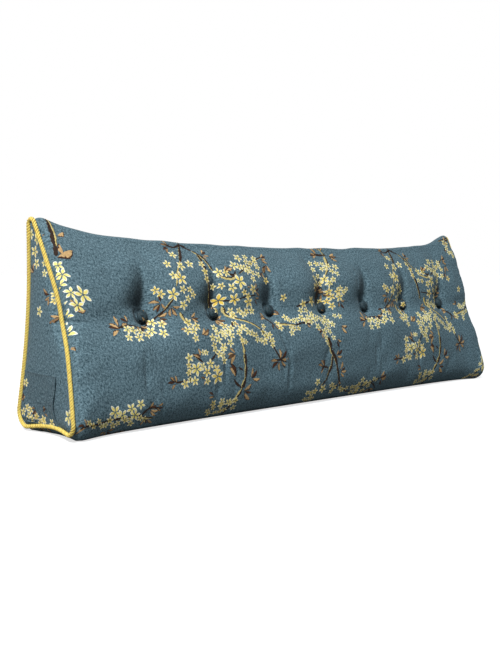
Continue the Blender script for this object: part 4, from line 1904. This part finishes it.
@dataclass
class SidePocket:
    """A flat patch of the same cloth on the left end, open along its top and its front edge."""

    cushion: Cushion
    top: float = 0.132
    thickness: float = 0.0011
    stand_off: float = 0.0006
    lip: float = 0.0016
    least_gap: float = 0.0003
    seam: float = 0.003
    lining_off: Pair = (0.3, 0.0)  # where the hidden faces lie on the cloth, clear of the face's motifs
    columns: int = 40
    rows: int = 44
    front_edge: tuple[Pair, ...] = (
        (0.132, -0.043), (0.107, -0.040), (0.072, -0.028), (0.054, -0.026), (0.038, -0.031), (0.020, -0.037),
        (0.012, -0.041))

    def build(self) -> Object:
        """Builds the patch over the end panel.

        Returns:
            The pocket.
        """
        form, rows = self.cushion.form, self.cushion.rows
        edge, out = form.end_edge(-1, rows)
        inner = (edge - out * (form.bevel + self.seam))[:, 1:]
        heights, fronts = np.array(self.front_edge[::-1]).T
        low = inner[:, 1].min() + 0.0005
        levels = np.linspace(low, self.top, self.rows)
        behind = inner[inner[:, 0] > 0.03]
        behind = behind[np.argsort(behind[:, 1])]
        rear = np.interp(levels, behind[:, 1], behind[:, 0])
        front = np.interp(levels, heights, fronts)
        share = np.linspace(0, 1, self.columns)[None]
        y = rear[:, None] + (front - rear)[:, None] * share
        z = np.broadcast_to(levels[:, None], y.shape)
        face = self._face(y, z)
        near_front = smooth_step(0.90, 1.0, np.broadcast_to(share, y.shape)) * smooth_step(0.0, 0.02, z - low)
        near_top = smooth_step(0.93, 1.0, (z - low) / (self.top - low)) * 0.7
        sink = self.stand_off + self.lip * np.maximum(near_front, near_top)
        sink = sink + 0.0004 * swells(np.stack([y, z], -1), 0.04, 3)
        sink = np.maximum(sink, self.least_gap)
        return self._solid(*(np.stack([face - sink - thick, y, z], -1) for thick in (self.thickness, 0)))

    def _face(self, y: Array, z: Array) -> Array:
        """Where the end panel's face lies under each point.

        Args:
            y: places from front to back.
            z: heights.

        Returns:
            The face's x at each point.
        """
        block = self.cushion._panel(-1)
        middle = block[-1]
        m = (len(block) - 1) // self.cushion.panel_rings
        rim = block[:m]
        angle = np.arctan2(rim[:, 2] - middle[2], rim[:, 1] - middle[1])
        order = np.argsort(angle)
        reach = np.hypot(rim[:, 1] - middle[1], rim[:, 2] - middle[2])[order]
        edge_x = rim[order, 0]
        here = np.arctan2(z - middle[2], y - middle[1])
        t = np.hypot(y - middle[1], z - middle[2]) / np.interp(here, angle[order], reach, period=2 * math.pi)
        t = np.clip(t, 0, 1)
        cushion = self.cushion
        flat = cushion.panel_inset - cushion.form.length / 2
        at_rim = np.interp(here, angle[order], edge_x, period=2 * math.pi)
        turned = (at_rim - flat) * smooth_step(cushion.panel_flat, 1.0, t)
        return flat + turned - cushion.panel_swell * (1 - t ** 2)

    def _solid(self, outer: Array, inner: Array) -> Object:
        """Closes the two faces of the patch into one thin sheet.

        Args:
            outer: (n, m, 3) the face that shows.
            inner: (n, m, 3) the hidden one.

        Returns:
            The pocket.
        """
        rows, cols = outer.shape[:2]
        count = rows * cols
        ids = np.arange(count).reshape(rows, cols)
        quads = np.stack([ids[:-1, :-1], ids[:-1, 1:], ids[1:, 1:], ids[1:, :-1]], -1).reshape(-1, 4)
        faces = np.stack([quads, quads[:, ::-1] + count], 1).reshape(-1, 4)
        rim = np.array([*ids[0, :-1], *ids[:-1, -1], *ids[-1, :0:-1], *ids[:0:-1, 0]])
        ahead = np.roll(rim, -1)
        edges = np.stack([ahead, rim, rim + count, ahead + count], 1)
        points = np.concatenate([outer.reshape(-1, 3), inner.reshape(-1, 3)])
        obj = mesh_object("pocket_patch", points, faces.tolist() + edges.tolist())
        flat = self.cushion.panel_map(-1, points)
        flat[count:] += self.lining_off
        corners = np.concatenate([flat[faces.ravel()], flat[edges.ravel() % count] + self.lining_off])
        set_cloth_map(obj.data, corners)
        obj.data.materials.append(POCKET_GROUND.make())
        return obj


# ---------------------------------------------------------------- floor, light and camera

@dataclass(frozen=True)
class Lamp:
    """A light turned to the foot of the pillow. A sun's spread is in degrees and a disc's in metres."""

    name: str
    kind: str
    strength: float
    place: Spot
    spread: float
    colour: Colour = (1.0, 1.0, 1.0)

    def put_up(self) -> None:
        """Adds the light to the scene."""
        data = bpy.data.lights.new(self.name, self.kind)
        data.energy, data.color = self.strength, self.colour
        if self.kind == "SUN":
            data.angle = math.radians(self.spread)
        else:
            data.shape, data.size = "DISK", self.spread
        obj = put(self.name, data)
        obj.location = self.place
        obj.rotation_euler = (-Vector(self.place)).to_track_quat("-Z", "Y").to_euler()


@dataclass
class Studio:
    """A pale floor, soft light and the camera."""

    place: Spot = (-1.62395, -1.56931, 0.34965)
    azimuth: float = 0.749
    pitch: float = 0.076
    lens: float = 45.223988
    floor_seen: float = 0.45
    floor_bounce: float = 0.22
    floor_glow: float = 0.70
    floor_radius: float = 60.0
    lamps: tuple[Lamp, ...] = (
        Lamp("key", "SUN", 1.98, (-0.50, -0.42, 0.76), 18.0, (0.88, 1.0, 1.05)),
        Lamp("rear", "SUN", 0.9, (0.60, 0.62, 0.50), 50.0),
        Lamp("near", "AREA", 72.0, (-2.1, -1.1, 2.2), 1.1, (1.0, 0.95, 0.92)))
    surround: float = 0.11
    backdrop_tone: float = 1.0

    def camera(self) -> None:
        """Places the camera and makes it the scene's own."""
        data = bpy.data.cameras.new("camera")
        data.lens = self.lens
        data.clip_end = 200.0
        obj = put("camera", data)
        obj.location = self.place
        obj.rotation_euler = (math.pi / 2 - self.pitch, 0.0, -self.azimuth)
        bpy.context.scene.camera = obj

    def floor(self) -> None:
        """A wide pale disc under the pillow."""
        turn = np.linspace(0, 2 * math.pi, 96, endpoint=False)
        ring = self.floor_radius * np.stack([np.cos(turn), np.sin(turn), 0 * turn], -1)
        obj = mesh_object("floor", ring, [list(range(len(ring)))])
        looks = {"Emission Color": (1.0, 1.0, 1.0, 1), "Roughness": 0.95}
        material, bench, shader = new_material("floor", looks)
        seen = bench.add("ShaderNodeLightPath").outputs["Is Camera Ray"]
        tones = [(tone, tone, tone, 1) for tone in (self.floor_bounce, self.floor_seen)]
        bench.tree.links.new(bench.blend(seen, *tones), shader.inputs["Base Color"])
        glow = bench.ramp(seen, 0.0, 1.0, 0.0, self.floor_glow)
        bench.tree.links.new(glow, shader.inputs["Emission Strength"])
        obj.data.materials.append(material)

    def light(self) -> None:
        """Soft light from above the camera's side, a weak one behind, and an even pale surround."""
        scene = bpy.context.scene
        scene.world = bpy.data.worlds.new("surround")
        scene.world.use_nodes = True
        bench = Bench(scene.world.node_tree)
        back = bench.tree.nodes["Background"]
        seen = bench.add("ShaderNodeLightPath").outputs["Is Camera Ray"]
        tone = bench.ramp(seen, 0.0, 1.0, self.surround, self.backdrop_tone)
        bench.tree.links.new(tone, back.inputs["Strength"])
        back.inputs["Color"].default_value = (1.0, 1.0, 1.0, 1)
        for lamp in self.lamps:
            lamp.put_up()
        scene.view_settings.view_transform = "Standard"


def main() -> None:
    """Builds every piece in order and reports it."""
    logging.basicConfig(level=logging.INFO, format="%(name)s %(message)s")
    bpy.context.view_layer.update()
    studio = Studio()
    studio.camera()
    studio.floor()
    studio.light()
    cushion = Cushion()
    body = cushion.build()
    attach(body, BODY)
    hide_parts("cushion")
    buttons = CoveredButtons(cushion)
    button_piece = buttons.build()
    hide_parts(*cushion.button_nodes)
    pocket = SidePocket(cushion).build()
    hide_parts("side_pocket")
    gold = RopeFinish().make()
    ropes = [RopeCord(cushion, end).build(gold) for end in (-1, 1)]
    for rope, node in zip(ropes, ("cord_left", "cord_right")):
        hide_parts(node)
    cloth = SprayCloth()
    woven = cloth.dress_wrap(cushion, body)
    for end, piece, name in ((-1, body, "left_end"), (1, body, "right_end"), (-1, pocket, "pocket")):
        woven += cloth.dress_end(cushion, end, piece, name)
    woven += buttons.dress(cloth, button_piece)
    cloth.clear_up()
    for piece in (button_piece, pocket, *ropes, *woven):
        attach(piece, BODY)
    for piece in (body, button_piece, pocket, *ropes, *woven):
        LOG.info("%s: %d faces", piece.name, len(piece.data.polygons))


if __name__ == "__main__":
    main()
